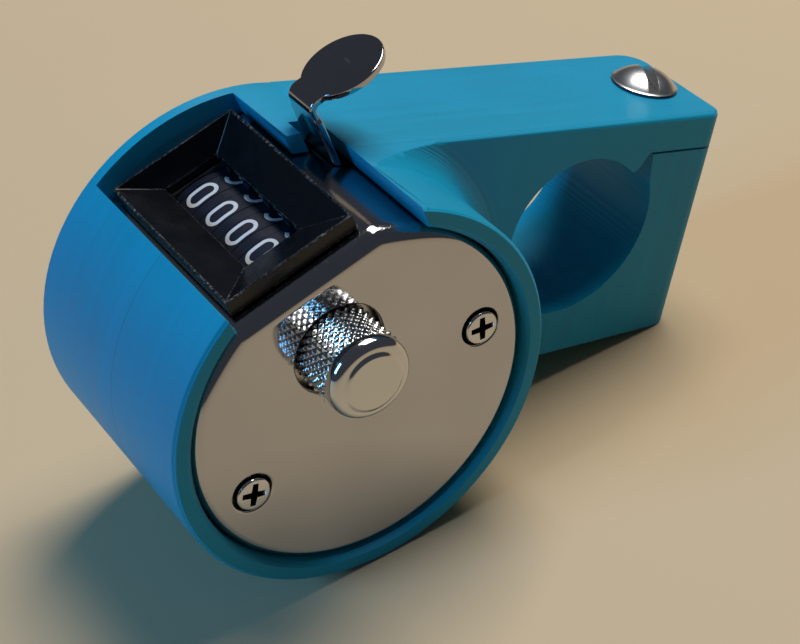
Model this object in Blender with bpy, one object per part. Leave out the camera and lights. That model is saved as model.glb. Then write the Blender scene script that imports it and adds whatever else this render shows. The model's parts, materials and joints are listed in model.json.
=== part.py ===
"""Hand tally counter pressed into a printed holder with a clamp arm, built as separate pieces."""
import math

import bmesh
import bpy
from mathutils import Matrix, Vector

# Clearances between pieces
seat_gap = 0.0003
running_gap = 0.0002
flange_gap = 0.0005

# Drawn case of the counter
case_radius = 0.02216
case_wall = 0.0006
case_front = 0.00055
case_flat_share = 0.9025
case_edge_round = 0.0016
case_corner_round = 0.0030

# Printed holder ring
ring_wall = 0.00254
ring_depth = 0.0341
back_wall = 0.0017
mouth_chamfer = 0.00065
rim_chamfer = 0.0004
counter_turn = 32.5

# Notch in the ring for window and lever
notch_half_width = 0.0099
notch_step_depth = 0.0200

# Arm of the holder
arm_front = 0.01455
arm_end_thickness = 0.0047
arm_edge_round = 0.0005
end_round_front = 0.0022
end_round_back = 0.0035
flare_height = 0.0041
flare_length = 0.0046

# Bore of the clamp, upper half in the holder and lower half in the jaw
bore_radius = 0.01055
bore_overhang = 0.00105
lug_width = 0.0047
clamp_wall = 0.01005
nose_angle = 47.9
web_angle = 215.0
nose_toe_run = 0.0009
nose_toe_rise = 0.0006
nose_to_jaw = 0.0007
jaw_arc_back = 0.0015
jaw_arc_lift = 0.00119
jaw_arc_growth = 0.00238
jaw_horn_setback = 0.00075
jaw_horn_angle = 23.2
jaw_sole = 0.00458
jaw_slope_share = 0.083
jaw_corner = 0.0015

# Tongue of the jaw in its slot
tongue_neck_width = 0.0044
tongue_head_width = 0.0094
tongue_neck_length = 0.0024
tongue_head_length = 0.0011
tongue_height = 0.0078
tongue_rise = 0.0004
root_overlap = 0.0004

# Clamp screw and threaded insert
bolt_from_end = 0.0061
bolt_radius = 0.0019
bolt_head_radius = 0.00445
bolt_head_height = 0.0021
bolt_reach = 0.0100
bolt_tip_chamfer = 0.0004
bolt_hole_spare = 0.0010
slot_width = 0.0013
slot_depth = 0.0009
slot_heading = 248.7
cross_width = 0.0011
cross_length = 0.0046
cross_depth = 0.0012
insert_radius = 0.0028
insert_length = 0.0060
insert_flute_depth = 0.0002

# Window block
window_gap_left = 0.00115
window_gap_right = 0.00145
window_front = 0.0030
window_gap_back = 0.0015
window_height = 0.0021
window_rim = 0.00025
opening_left = 0.0034
opening_right = 0.0041
opening_front = 0.0099
opening_back_rim = 0.0013
opening_depth = 0.0034
plug_left = 0.0063
plug_right = 0.0069
plug_front = 0.0066
plug_back_rim = 0.0005
plug_depth = 0.0019

# Frame inside the case
plate_thickness = 0.0008
front_plate_y = 0.0024
rear_plate_inset = 0.0031
plate_gap = 0.00076
post_inset = 0.0042
post_drop = 0.0017
post_radius = 0.0019
post_tail_radius = 0.0012
post_thread_depth = 0.0050
foot_post_inset = 0.0038
cover_thickness = 0.0008

# Screws in the front face
screw_head_radius = 0.0022
screw_head_height = 0.00055
screw_head_round = 0.0002
screw_radius = 0.00095
screw_length = 0.0070
screw_dimple_depth = 0.00025
screw_cross_width = 0.00065
screw_cross_length = 0.0026
screw_cross_depth = 0.0004

# Reset knob and its shaft
wheel_to_window = 0.00037
shaft_radius = 0.0015
knob_radius = 0.0053
knob_hole_gap = 0.00056
knob_back = 0.0019
knob_front = 0.00695
knurl_end = 0.0044
knob_groove = 0.00015
knob_band_end = 0.0055
knob_shoulder_radius = 0.0043
knob_shoulder_end = 0.0065
knob_disc_radius = 0.0039
knob_disc_round = 0.00025
knob_socket_depth = 0.0030
keyway_width = 0.0008
keyway_depth = 0.0004
keyway_start = 0.0110
collar_radius = 0.0028
collar_thickness = 0.0006

# Number wheels
wheel_radius = 0.0088
wheel_count = 4
wheel_gap = 0.00175
units_wheel_y = 0.0120
last_wheel_gap = 0.00065
wheel_tooth_shares = (0.278, 0.233, 0.144)
gear_teeth = 20
gear_tip = 0.00855
gear_mid = 0.00785
gear_root = 0.0071
gear_width = 0.0008
carry_radius = 0.0072
carry_width = 0.0006
finger_tip = 0.0083
finger_setback = 45.0

# Carry pinions
pinion_teeth = 8
pinion_distance = 0.0112
pinion_heading = 240.0
pinion_tip = 0.00375
pinion_mid = 0.00305
pinion_root = 0.00235
pinion_shaft_radius = 0.0010
pinion_tooth_shares = (0.333, 0.227, 0.133)
stub_tooth_shares = (0.1555, 0.1035, 0.059)

# Ratchet that steps the units wheel
ratchet_teeth = 10
ratchet_tip = 0.0046
ratchet_root = 0.0035
ratchet_y = 0.0056
ratchet_width = 0.0012
ratchet_hub_radius = 0.0026
ratchet_phase = 10.0
tooth_back_angle = 1.5

# Thumb lever
pivot_share = 0.5415
pivot_rise = 0.00567
pivot_pin_radius = 0.0010
lever_eye_radius = 0.0021
lever_plate_y = 0.0040
lever_plate_thickness = 0.0010
lever_under_rise = 0.00437
lever_half_height = 0.0020
lever_side_share = 0.58664
lever_strip_thickness = 0.0008
flange_low_rise = 0.00347
flange_high_rise = 0.0010
strip_front = 0.0164
strip_back = 0.0225
strip_taper = 0.0005
waist_drop = 0.0011
bend_drop = 0.00145
tab_lift = 0.00725
tab_reach = 0.0066
tab_half_length = 0.0053
tab_half_width = 0.0046
tab_thickness = 0.0008
tab_rise = 0.0004
lever_throw = 8.0

# Pawl on the lever
pawl_x = 0.0066
pawl_drop = 0.0002
pawl_eye_radius = 0.0011
pawl_pin_radius = 0.0006
pawl_reach_radius = 0.0041
pawl_gap = 0.00025
pawl_tip_half = 0.0003
pawl_belly = 0.0011
pawl_waist = 0.0005

# Springs
coil_inset = 0.0005
coil_y = 0.0080
coil_radius = 0.0014
coil_wire = 0.00022
coil_turns = 6
coil_seat_lift = 0.0024
coil_seat_thickness = 0.0007
coil_seat_half = 0.0022
leaf_thickness = 0.00025
leaf_foot_x = 0.0055
leaf_foot_length = 0.0025
leaf_foot_drop = 0.0012
leaf_tip_x = 0.0002
leaf_gap = 0.0002
leaf_hook = 0.0012

# Facets of round shapes
large_steps = 96
wheel_steps = 48
medium_steps = 36
small_steps = 24
corner_steps = 3

# Sizes that follow from those above
holder_bore = case_radius + seat_gap
ring_radius = holder_bore + ring_wall
case_back = ring_depth - back_wall - seat_gap
rear_plate_y = case_back - rear_plate_inset
wheel_room = rear_plate_y - last_wheel_gap - carry_width - units_wheel_y + wheel_gap / 2
wheel_pitch = wheel_room / (wheel_count - 0.5)
drum_width = wheel_pitch - wheel_gap
window_left = notch_half_width - window_gap_left
window_right = notch_half_width - window_gap_right
window_back = case_back - window_gap_back
opening_back = window_back - opening_back_rim
plug_back = window_back - plug_back_rim
case_inner = case_radius - case_wall
case_flat = case_radius * case_flat_share
face_inner = case_front + case_wall
arm_middle = (arm_front + ring_depth) / 2
seam_height = ring_radius - arm_end_thickness
jaw_top = seam_height - seat_gap
jaw_root_x = ring_radius + lug_width + seat_gap
bore_centre_x = jaw_root_x + bore_radius - bore_overhang
bore_centre_z = seam_height - bore_radius
arm_reach = bore_centre_x + bore_radius + clamp_wall
jaw_arc_x = bore_centre_x - jaw_arc_back
jaw_arc_z = bore_centre_z + jaw_arc_lift
jaw_arc_radius = bore_radius + jaw_arc_growth
jaw_horn_x = bore_centre_x + bore_radius - jaw_horn_setback
jaw_foot = jaw_arc_radius + jaw_sole - jaw_arc_z
bolt_x = arm_reach - bolt_from_end
bolt_end = jaw_top - bolt_reach
bolt_hole_end = bolt_end - bolt_hole_spare
plate_radius = case_inner - plate_gap
post_x = plate_radius - post_inset
foot_post_drop = plate_radius - foot_post_inset
axis_height = case_flat - plug_depth - wheel_to_window - wheel_radius
pivot_height = axis_height + pivot_rise
pivot_x = case_radius * pivot_share
lever_strip_x = case_radius * lever_side_share
tab_centre_x = lever_strip_x + tab_reach
coil_x = lever_strip_x - coil_inset
lever_under = axis_height + lever_under_rise
lever_over = pivot_height + lever_half_height
lever_flange_low = axis_height + flange_low_rise
lever_flange_high = pivot_height + flange_high_rise
tab_height = case_flat + tab_lift
bend_height = tab_height - bend_drop
strip_waist = bend_height - waist_drop
pawl_height = pivot_height - pawl_drop
coil_seat_height = post_radius - post_drop + coil_seat_lift + coil_seat_thickness
lever_swing = (ring_radius - lever_flange_high) * math.radians(lever_throw)
lever_notch_edge = lever_strip_x + lever_strip_thickness + lever_swing + seat_gap - running_gap
lever_slot_left = lever_strip_x - lever_strip_thickness - seat_gap
plate_top = case_flat - plug_depth - seat_gap
overlap = case_wall / 3
face_check = seat_gap / 30


def paint(name, colour, roughness, metallic):
    """Makes one plain material."""
    material = bpy.data.materials.new(name)
    material.use_nodes = True
    shader = material.node_tree.nodes["Principled BSDF"]
    shader.inputs["Base Color"].default_value = colour + (1.0,)
    shader.inputs["Roughness"].default_value = roughness
    shader.inputs["Metallic"].default_value = metallic
    material.diffuse_color = colour + (1.0,)
    return material


def ordered(axis, across, up, along):
    """Puts outline and depth values on the world axes."""
    if axis == "X":
        return (along, across, up)
    if axis == "Y":
        return (across, along, up)
    return (across, up, along)


def prism(points, low, high, axis):
    """Makes a bar with the given outline between two depths."""
    solid = bmesh.new()
    near = [solid.verts.new(ordered(axis, across, up, low)) for across, up in points]
    far = [solid.verts.new(ordered(axis, across, up, high)) for across, up in points]
    solid.faces.new(near)
    solid.faces.new(list(reversed(far)))
    for index in range(len(points)):
        after = (index + 1) % len(points)
        solid.faces.new((near[index], far[index], far[after], near[after]))
    bmesh.ops.recalc_face_normals(solid, faces=solid.faces)
    return solid


def turned(profile, steps, axis):
    """Turns a closed outline of radius and depth pairs about an axis."""
    solid = bmesh.new()
    rings = []
    for radius, along in profile:
        if radius == 0:
            rings.append([solid.verts.new(ordered(axis, 0, 0, along))] * steps)
            continue
        ring = []
        for step in range(steps):
            angle = math.tau * step / steps
            across = radius * math.cos(angle)
            up = radius * math.sin(angle)
            ring.append(solid.verts.new(ordered(axis, across, up, along)))
        rings.append(ring)
    for index in range(len(profile)):
        first = rings[index]
        second = rings[(index + 1) % len(profile)]
        if first[0] is first[1] and second[0] is second[1]:
            continue
        for step in range(steps):
            after = (step + 1) % steps
            corners = [first[step], first[after], second[after], second[step]]
            unique = list(dict.fromkeys(corners))
            solid.faces.new(unique)
    bmesh.ops.recalc_face_normals(solid, faces=solid.faces)
    return solid


def box(left, right, front, back, low, high):
    """Makes a block from its six limits."""
    return prism([(left, front), (right, front), (right, back), (left, back)], low, high, "Z")


def funnel(low_box, low, high_box, high):
    """Makes a block whose sides slope between two rectangles."""
    solid = bmesh.new()
    rings = []
    for (left, right, front, back), level in ((low_box, low), (high_box, high)):
        corners = ((left, front), (right, front), (right, back), (left, back))
        rings.append([solid.verts.new((x, y, level)) for x, y in corners])
    solid.faces.new(rings[0])
    solid.faces.new(list(reversed(rings[1])))
    for index in range(4):
        after = (index + 1) % 4
        solid.faces.new((rings[0][index], rings[1][index], rings[1][after], rings[0][after]))
    bmesh.ops.recalc_face_normals(solid, faces=solid.faces)
    return solid


def arc(centre_across, centre_up, radius, start, stop, steps):
    """Gives points along an arc between two angles in degrees."""
    points = []
    for step in range(steps + 1):
        angle = math.radians(start + (stop - start) * step / steps)
        points.append((centre_across + radius * math.cos(angle), centre_up + radius * math.sin(angle)))
    return points


def moved(solid, across, along, up):
    """Moves a solid."""
    bmesh.ops.translate(solid, verts=solid.verts, vec=Vector((across, along, up)))
    return solid


def spun(solid, degrees, axis):
    """Turns a solid about one axis through the origin."""
    turn = Matrix.Rotation(math.radians(degrees), 3, axis)
    bmesh.ops.rotate(solid, verts=solid.verts, cent=Vector(), matrix=turn)
    return solid


def scratch_object(solid):
    """Puts a solid in the scene for one step of work."""
    mesh = bpy.data.meshes.new("scratch")
    solid.to_mesh(mesh)
    solid.free()
    holder = bpy.data.objects.new("scratch", mesh)
    bpy.context.scene.collection.objects.link(holder)
    return holder


def combined(body, tool, action):
    """Joins, cuts or trims one solid with another."""
    first = scratch_object(body)
    second = scratch_object(tool)
    step = first.modifiers.new("step", "BOOLEAN")
    step.operation = action
    step.solver = "EXACT"
    step.object = second
    graph = bpy.context.evaluated_depsgraph_get()
    mesh = bpy.data.meshes.new_from_object(first.evaluated_get(graph))
    result = bmesh.new()
    result.from_mesh(mesh)
    for used in (first, second):
        old = used.data
        bpy.data.objects.remove(used)
        bpy.data.meshes.remove(old)
    bpy.data.meshes.remove(mesh)
    bmesh.ops.remove_doubles(result, verts=result.verts, dist=seat_gap / 300)
    bmesh.ops.dissolve_limit(result, angle_limit=math.radians(0.05), verts=result.verts, edges=result.edges)
    return result


def joined(body, *tools):
    """Joins several solids into one."""
    for tool in tools:
        body = combined(body, tool, "UNION")
    return body


def cut(body, *tools):
    """Cuts several solids out of one."""
    for tool in tools:
        body = combined(body, tool, "DIFFERENCE")
    return body


def placed(name, solid, material, parent, location):
    """Names a finished solid and puts it on its parent."""
    mesh = bpy.data.meshes.new(name)
    bmesh.ops.recalc_face_normals(solid, faces=solid.faces)
    solid.to_mesh(mesh)
    solid.free()
    mesh.shade_smooth()
    mesh.set_sharp_from_angle(angle=math.radians(32))
    mesh.materials.append(material)
    piece = bpy.data.objects.new(name, mesh)
    bpy.context.scene.collection.objects.link(piece)
    piece.parent = parent
    piece.location = location
    return piece


def frame_empty(name, parent, location, degrees):
    """Makes an empty that carries a group of pieces."""
    holder = bpy.data.objects.new(name, None)
    bpy.context.scene.collection.objects.link(holder)
    holder.parent = parent
    holder.location = location
    holder.rotation_euler = (0, math.radians(degrees), 0)
    holder.empty_display_size = shaft_radius
    return holder


def jaw_floor(x):
    """Gives the height of the jaw's sloping underside."""
    return -jaw_foot - jaw_slope_share * (arm_reach - x)


def corner_centre():
    """Gives the centre of the jaw's rounded lower corner."""
    x = arm_reach - jaw_corner
    return x, jaw_floor(x) + jaw_corner * math.hypot(1, jaw_slope_share)


def resting_tilt():
    """Gives the tilt at which ring and jaw both touch the table."""
    x, z = corner_centre()
    return math.degrees(math.asin((ring_radius - jaw_corner) / math.hypot(x, z)) - math.atan2(-z, x))


def gear_outline(teeth, root, middle, tip, shares, phase):
    """Gives the outline of a spur gear from its radii and half widths of tooth."""
    points = []
    pitch = 360 / teeth
    root_half, middle_half, tip_half = (pitch * share for share in shares)
    for tooth in range(teeth):
        centre = phase + pitch * tooth
        corners = ((root, -root_half), (middle, -middle_half), (tip, -tip_half))
        corners += ((tip, tip_half), (middle, middle_half), (root, root_half))
        for radius, offset in corners:
            angle = math.radians(centre + offset)
            points.append((radius * math.cos(angle), radius * math.sin(angle)))
    return points


def case_outline(radius, flat, steps):
    """Gives a circle with its top cut flat and the corners of the flat rounded."""
    corner = case_corner_round - case_radius + radius
    inner = radius - corner
    height = flat - corner
    across = math.sqrt(inner * inner - height * height)
    meeting = math.degrees(math.asin(height / inner))
    points = arc(0, 0, radius, 180 - meeting, 360 + meeting, steps)
    points += arc(across, height, corner, meeting, 90, corner_steps)[1:]
    points += arc(-across, height, corner, 90, 180 - meeting, corner_steps)[:-1]
    return points


def front_rim(solid, depth):
    """Gives the edges of a solid that lie at one depth."""
    rim = []
    for edge in solid.edges:
        if all(abs(vertex.co.y - depth) < face_check for vertex in edge.verts):
            rim.append(edge)
    return rim


def end_plan(front):
    """Gives the arm seen from above with its rounded end."""
    points = [(-ring_wall, front), (arm_reach - end_round_front, front)]
    points += arc(arm_reach - end_round_front, arm_front + end_round_front, end_round_front, 270, 360, 6)
    points += arc(arm_reach - end_round_back, ring_depth - end_round_back, end_round_back, 0, 90, 8)
    points.append((-ring_wall, ring_depth + ring_wall))
    return points


def arm_profile():
    """Gives the side outline of the arm with the upper half of the clamp bore."""
    nose = arc(bore_centre_x, bore_centre_z, bore_radius, nose_angle, web_angle, 40)
    tip_x, tip_z = nose[0]
    web_z = nose[-1][1]
    lug_x = jaw_root_x - seat_gap
    lug_floor = jaw_floor(jaw_root_x)
    points = [(0, ring_radius - ring_wall / 2), (ring_wall, ring_radius), (arm_reach, ring_radius)]
    points.append((arm_reach, seam_height))
    points.append((jaw_horn_x - nose_to_jaw, seam_height))
    points.append((tip_x + nose_toe_run, tip_z + nose_toe_rise))
    points += nose
    points += [(lug_x, web_z), (lug_x, lug_floor), (0, lug_floor)]
    return points


def flare_tool(front):
    """Makes the tool that leaves a curved foot where the arm grows out of the ring."""
    far = arm_reach + ring_radius
    start = arm_front - flare_length
    profile = [(far, front), (ring_radius - overlap, front), (ring_radius - overlap, start)]
    for step in range(1, 9):
        angle = math.radians(90 * step / 8)
        radius = ring_radius + flare_height * (1 - math.cos(angle))
        profile.append((radius, start + flare_length * math.sin(angle)))
    profile.append((far, arm_front))
    return turned(profile, large_steps, "Y")


def soften_top(solid):
    """Rounds the upper edges of the arm."""
    rim = []
    start = arm_front * 0.9
    for edge in solid.edges:
        first, last = (vertex.co for vertex in edge.verts)
        level = abs(first.z - ring_radius) + abs(last.z - ring_radius) < face_check
        steep = any(abs(face.normal.z) < 0.5 for face in edge.link_faces)
        clear = min(first.x, last.x) > start or abs(first.x - last.x) > start
        if level and steep and clear:
            rim.append(edge)
    bmesh.ops.bevel(solid, geom=rim, offset=arm_edge_round, segments=2, profile=0.5, affect="EDGES")
    return solid


def arm_solid():
    """Makes the arm with its rounded end, its curved foot and soft upper edges."""
    front = arm_front - flare_length - ring_wall
    side = prism(arm_profile(), front, ring_depth, "Y")
    plan = prism(end_plan(front - ring_wall), -ring_radius, ring_radius + arm_front, "Z")
    arm = combined(side, plan, "INTERSECT")
    return soften_top(cut(arm, flare_tool(front - ring_wall)))


def notch_tools():
    """Makes the blocks that open the ring for window, lever and lever strip."""
    floor = case_flat / 2
    top = ring_radius + ring_wall
    back = ring_depth - back_wall - running_gap
    slot_back = strip_back + seat_gap + running_gap
    window = box(-notch_half_width, notch_half_width, -ring_wall, back, floor, top)
    front = box(notch_half_width - overlap, lever_notch_edge, -ring_wall, notch_step_depth, floor, top)
    pocket = box(lever_slot_left, lever_notch_edge, notch_step_depth - overlap, slot_back, floor, top)
    return [spun(tool, -counter_turn, "Y") for tool in (window, front, pocket)]


def tongue(grow, low, high, start):
    """Makes the tee shaped tongue, or with growth the slot that it slides in."""
    neck_left = jaw_root_x - tongue_neck_length - grow
    head_right = jaw_root_x - tongue_neck_length + grow
    head_left = jaw_root_x - tongue_neck_length - tongue_head_length - grow
    neck_half = tongue_neck_width / 2 + grow
    head_half = tongue_head_width / 2 + grow
    neck = box(neck_left, start, arm_middle - neck_half, arm_middle + neck_half, low, high)
    head = box(head_left, head_right, arm_middle - head_half, arm_middle + head_half, low, high)
    return joined(neck, head)


def holder_body(material, parent):
    """Makes the printed ring, its arm and the upper half of the clamp."""
    ring = turned(
        [(0, ring_depth), (ring_radius - rim_chamfer, ring_depth), (ring_radius, ring_depth - rim_chamfer),
         (ring_radius, rim_chamfer), (ring_radius - rim_chamfer, 0), (0, 0)],
        large_steps, "Y")
    body = joined(ring, arm_solid())
    bore = turned(
        [(0, ring_depth - back_wall), (holder_bore, ring_depth - back_wall), (holder_bore, mouth_chamfer),
         (holder_bore + mouth_chamfer, 0), (holder_bore + mouth_chamfer, -ring_wall), (0, -ring_wall)],
        large_steps, "Y")
    hole_radius = bolt_radius + seat_gap + overlap
    hole_low = seam_height - arm_end_thickness
    hole_high = ring_radius + ring_wall
    bolt_hole = turned(
        [(0, hole_low), (hole_radius, hole_low), (hole_radius, hole_high), (0, hole_high)],
        small_steps, "Z")
    slot_floor = jaw_floor(jaw_root_x) - ring_wall
    slot_top = jaw_floor(jaw_root_x) + tongue_rise + tongue_height + seat_gap
    slot = tongue(seat_gap, slot_floor, slot_top, jaw_root_x + seat_gap)
    body = cut(body, bore, moved(bolt_hole, bolt_x, arm_middle, 0), slot, *notch_tools())
    return placed("holder_body", body, material, parent, (0, 0, 0))


def jaw_profile():
    """Gives the side outline of the loose jaw."""
    centre_x, centre_z = corner_centre()
    slope = math.degrees(math.atan(jaw_slope_share))
    opening = math.degrees(math.acos((jaw_arc_x - jaw_root_x) / jaw_arc_radius))
    points = [(jaw_horn_x, jaw_top), (arm_reach, jaw_top)]
    points += arc(centre_x, centre_z, jaw_corner, 0, slope - 90, 8)
    points.append((jaw_root_x, jaw_floor(jaw_root_x)))
    points += arc(jaw_arc_x, jaw_arc_z, jaw_arc_radius, opening - 180, jaw_horn_angle, 44)
    return points


def clamp_jaw(material, parent):
    """Makes the lower half of the clamp with its tongue and insert pocket."""
    side = prism(jaw_profile(), arm_front, ring_depth, "Y")
    plan = prism(end_plan(arm_front - ring_wall), -ring_radius, ring_radius, "Z")
    body = combined(side, plan, "INTERSECT")
    low = jaw_floor(jaw_root_x) + tongue_rise
    body = joined(body, tongue(0, low, low + tongue_height, jaw_root_x + root_overlap))
    pocket_radius = insert_radius + running_gap
    hole_radius = bolt_radius + seat_gap + overlap
    pocket_floor = jaw_top - insert_length - seat_gap
    profile = [(0, bolt_hole_end), (hole_radius, bolt_hole_end), (hole_radius, pocket_floor)]
    profile += [(pocket_radius, pocket_floor), (pocket_radius, jaw_top + ring_wall), (0, jaw_top + ring_wall)]
    pocket = turned(profile, small_steps, "Z")
    body = cut(body, moved(pocket, bolt_x, arm_middle, 0))
    return placed("clamp_jaw", body, material, parent, (0, 0, 0))


def clamp_insert(material, parent):
    """Makes the ribbed brass sleeve that takes the clamp screw."""
    bore = bolt_radius + running_gap
    low = jaw_top - insert_length
    third = insert_length / 5
    profile = [(bore, jaw_top), (bore, low), (insert_radius - insert_flute_depth, low)]
    profile += [(insert_radius - insert_flute_depth, low + third), (insert_radius, low + third)]
    profile += [(insert_radius, low + third * 2), (insert_radius - insert_flute_depth, low + third * 2)]
    profile += [(insert_radius - insert_flute_depth, low + third * 3), (insert_radius, low + third * 3)]
    profile += [(insert_radius, jaw_top)]
    sleeve = turned(profile, small_steps, "Z")
    return placed("clamp_insert", sleeve, material, parent, (bolt_x, arm_middle, 0))


def clamp_screw(material, parent):
    """Makes the domed clamp screw with its slot and cross."""
    tip = bolt_end - ring_radius
    edge = bolt_tip_chamfer / 2
    profile = [(0, tip), (bolt_radius - bolt_tip_chamfer, tip)]
    profile += [(bolt_radius, tip + bolt_tip_chamfer), (bolt_radius, seat_gap)]
    profile += [(bolt_head_radius - edge, seat_gap), (bolt_head_radius, seat_gap + edge)]
    rise = bolt_head_height - bolt_tip_chamfer
    base = seat_gap + bolt_tip_chamfer
    for step in range(5):
        angle = math.radians(90 * step / 5)
        profile.append((bolt_head_radius * math.cos(angle), base + rise * math.sin(angle)))
    profile.append((0, seat_gap + bolt_head_height))
    body = turned(profile, medium_steps, "Z")
    top = seat_gap + bolt_head_height + ring_wall
    slot_floor = seat_gap + bolt_head_height - slot_depth
    cross_floor = seat_gap + bolt_head_height - cross_depth
    half = slot_width / 2
    slot = box(-bolt_head_radius * 2, bolt_head_radius * 2, -half, half, slot_floor, top)
    reach = cross_length / 2
    side = cross_width / 2
    long_cross = box(-reach, reach, -side, side, cross_floor, top)
    short_cross = box(-side, side, -reach, reach, cross_floor, top)
    body = cut(body, slot, long_cross, short_cross)
    spun(body, slot_heading, "Z")
    return placed("clamp_screw", body, material, parent, (bolt_x, arm_middle, ring_radius))


def case_cup(material, parent):
    """Makes the drawn cup with its window, lever slot and holes."""
    shell = prism(case_outline(case_radius, case_flat, large_steps), case_front, case_back, "Y")
    rim = front_rim(shell, case_front)
    bmesh.ops.bevel(
        shell, geom=rim, offset=case_edge_round, segments=corner_steps, profile=0.5, affect="EDGES"
    )
    hollow = prism(case_outline(case_inner, case_flat - case_wall, large_steps), face_inner, ring_depth, "Y")
    rim = front_rim(hollow, face_inner)
    inner_round = case_edge_round - case_wall
    bmesh.ops.bevel(
        hollow, geom=rim, offset=inner_round, segments=corner_steps, profile=0.5, affect="EDGES"
    )
    gap = seat_gap
    floor = case_flat - case_wall * 3
    window = box(-plug_left - gap, plug_right + gap, plug_front - gap, plug_back + gap, floor, ring_radius)
    slot_right = lever_notch_edge - running_gap / 2
    slot_left = lever_strip_x - flange_gap
    slot_front = strip_front - flange_gap
    slot_back = strip_back + flange_gap
    slot = box(slot_left, slot_right, slot_front, slot_back, lever_flange_low, ring_radius)
    hole_radius = knob_radius + knob_hole_gap
    hole = turned([(0, 0), (hole_radius, 0), (hole_radius, knob_back), (0, knob_back)], medium_steps, "Y")
    tools = [hollow, window, slot, moved(hole, 0, 0, axis_height)]
    for side in (-1, 1):
        radius = screw_radius + seat_gap
        ring = screw_head_radius + seat_gap
        floor_y = case_front + screw_dimple_depth
        profile = [(0, 0), (ring, 0), (ring, floor_y), (radius, floor_y)]
        profile += [(radius, knob_back), (0, knob_back)]
        tools.append(moved(turned(profile, small_steps, "Y"), side * post_x, 0, -post_drop))
    return placed("case_cup", cut(shell, *tools), material, parent, (0, 0, 0))


def back_cover(material, parent):
    """Makes the plate that closes the back of the case."""
    radius = case_inner - running_gap
    flat = case_flat - case_wall - running_gap
    plate = prism(case_outline(radius, flat, large_steps), case_back - cover_thickness, case_back, "Y")
    return placed("back_cover", plate, material, parent, (0, 0, 0))


def window_bezel(material, parent):
    """Makes the window block with its sloping inner faces."""
    low = case_flat + seat_gap
    top = low + window_height
    throat = top - opening_depth
    flange = box(-window_left, window_right, window_front, window_back, low, top)
    plug = box(-plug_left, plug_right, plug_front, plug_back, case_flat - plug_depth, low + overlap)
    body = joined(flange, plug)
    opening = (-opening_left, opening_right, opening_front, opening_back)
    grow = window_height
    stretch = (opening_depth + grow) / opening_depth
    mouth = (
        -window_left + window_rim, window_right - window_rim,
        window_front + window_rim, window_back - window_rim)
    wide = tuple(inner + (outer - inner) * stretch for inner, outer in zip(opening, mouth))
    slopes = funnel(opening, throat, wide, top + grow)
    throat_block = box(*opening, case_flat - plug_depth * 2, throat + overlap)
    body = cut(body, joined(throat_block, slopes))
    return placed("window_bezel", body, material, parent, (0, 0, 0))


def pin_hole(x, z, radius, front, back):
    """Makes a round tool for a hole along the depth."""
    return moved(turned([(0, front), (radius, front), (radius, back), (0, back)], small_steps, "Y"), x, 0, z)


def pinion_centre():
    """Gives the place of the carry pinions beside the wheels."""
    angle = math.radians(pinion_heading)
    return pinion_distance * math.cos(angle), axis_height + pinion_distance * math.sin(angle)


def plate_holes(front, back, thread):
    """Makes the tools for the holes that both frame plates share."""
    pinion_x, pinion_z = pinion_centre()
    tail = post_tail_radius + seat_gap
    side = screw_radius + seat_gap if thread else tail
    holes = [pin_hole(0, axis_height, shaft_radius + seat_gap, front, back)]
    holes.append(pin_hole(pinion_x, pinion_z, pinion_shaft_radius + running_gap, front, back))
    holes.append(pin_hole(-pivot_x, pivot_height, pivot_pin_radius + running_gap, front, back))
    holes.append(pin_hole(post_x, -post_drop, side, front, back))
    holes.append(pin_hole(-post_x, -post_drop, side, front, back))
    holes.append(pin_hole(0, -foot_post_drop, tail, front, back))
    return holes


def front_frame_plate(material, parent):
    """Makes the front plate of the movement with the bent seat of the return spring."""
    back = front_plate_y + plate_thickness
    plate = prism(case_outline(plate_radius, plate_top, large_steps // 2), front_plate_y, back, "Y")
    seat_left = coil_x - coil_seat_half
    seat_right = coil_x + coil_seat_half
    seat_back = coil_y + coil_seat_half
    seat_low = coil_seat_height - coil_seat_thickness
    seat_front = front_plate_y + plate_thickness / 2
    seat = box(seat_left, seat_right, seat_front, seat_back, seat_low, coil_seat_height)
    holes = plate_holes(front_plate_y - seat_gap, back + seat_gap, True)
    return placed("front_frame_plate", cut(joined(plate, seat), *holes), material, parent, (0, 0, 0))


def rear_frame_plate(material, parent):
    """Makes the rear plate of the movement."""
    back = rear_plate_y + plate_thickness
    plate = prism(case_outline(plate_radius, plate_top, large_steps // 2), rear_plate_y, back, "Y")
    holes = plate_holes(rear_plate_y - seat_gap, back + seat_gap, False)
    return placed("rear_frame_plate", cut(plate, *holes), material, parent, (0, 0, 0))


def frame_post(name, x, z, thread, material, parent):
    """Makes a post between the frame plates."""
    front = front_plate_y + plate_thickness + seat_gap
    back = rear_plate_y - seat_gap
    tail = rear_plate_y + plate_thickness + seat_gap
    if thread:
        bore = screw_radius + running_gap
        profile = [(0, front + post_thread_depth), (bore, front + post_thread_depth), (bore, front)]
    else:
        nose = front_plate_y - seat_gap
        profile = [(0, nose), (post_tail_radius, nose), (post_tail_radius, front)]
    profile += [(post_radius, front), (post_radius, back), (post_tail_radius, back), (post_tail_radius, tail)]
    profile.append((0, tail))
    return placed(name, turned(profile, small_steps, "Y"), material, parent, (x, 0, z))


def cover_screw(name, x, material, parent):
    """Makes a small pan head screw with a cross."""
    under = case_front + screw_dimple_depth - seat_gap
    face = under - screw_head_height
    thread_end = face + screw_length
    profile = [(0, face), (screw_head_radius - screw_head_round * 2, face)]
    profile += [(screw_head_radius, face + screw_head_round), (screw_head_radius, under)]
    profile += [(screw_radius, under), (screw_radius, thread_end), (0, thread_end)]
    body = turned(profile, small_steps, "Y")
    half = screw_cross_width / 2
    long_half = screw_cross_length / 2
    floor = face + screw_cross_depth
    first = box(-long_half, long_half, face - seat_gap, floor, -half, half)
    second = box(-half, half, face - seat_gap, floor, -long_half, long_half)
    return placed(name, cut(body, joined(first, second)), material, parent, (x, 0, -post_drop))


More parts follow.
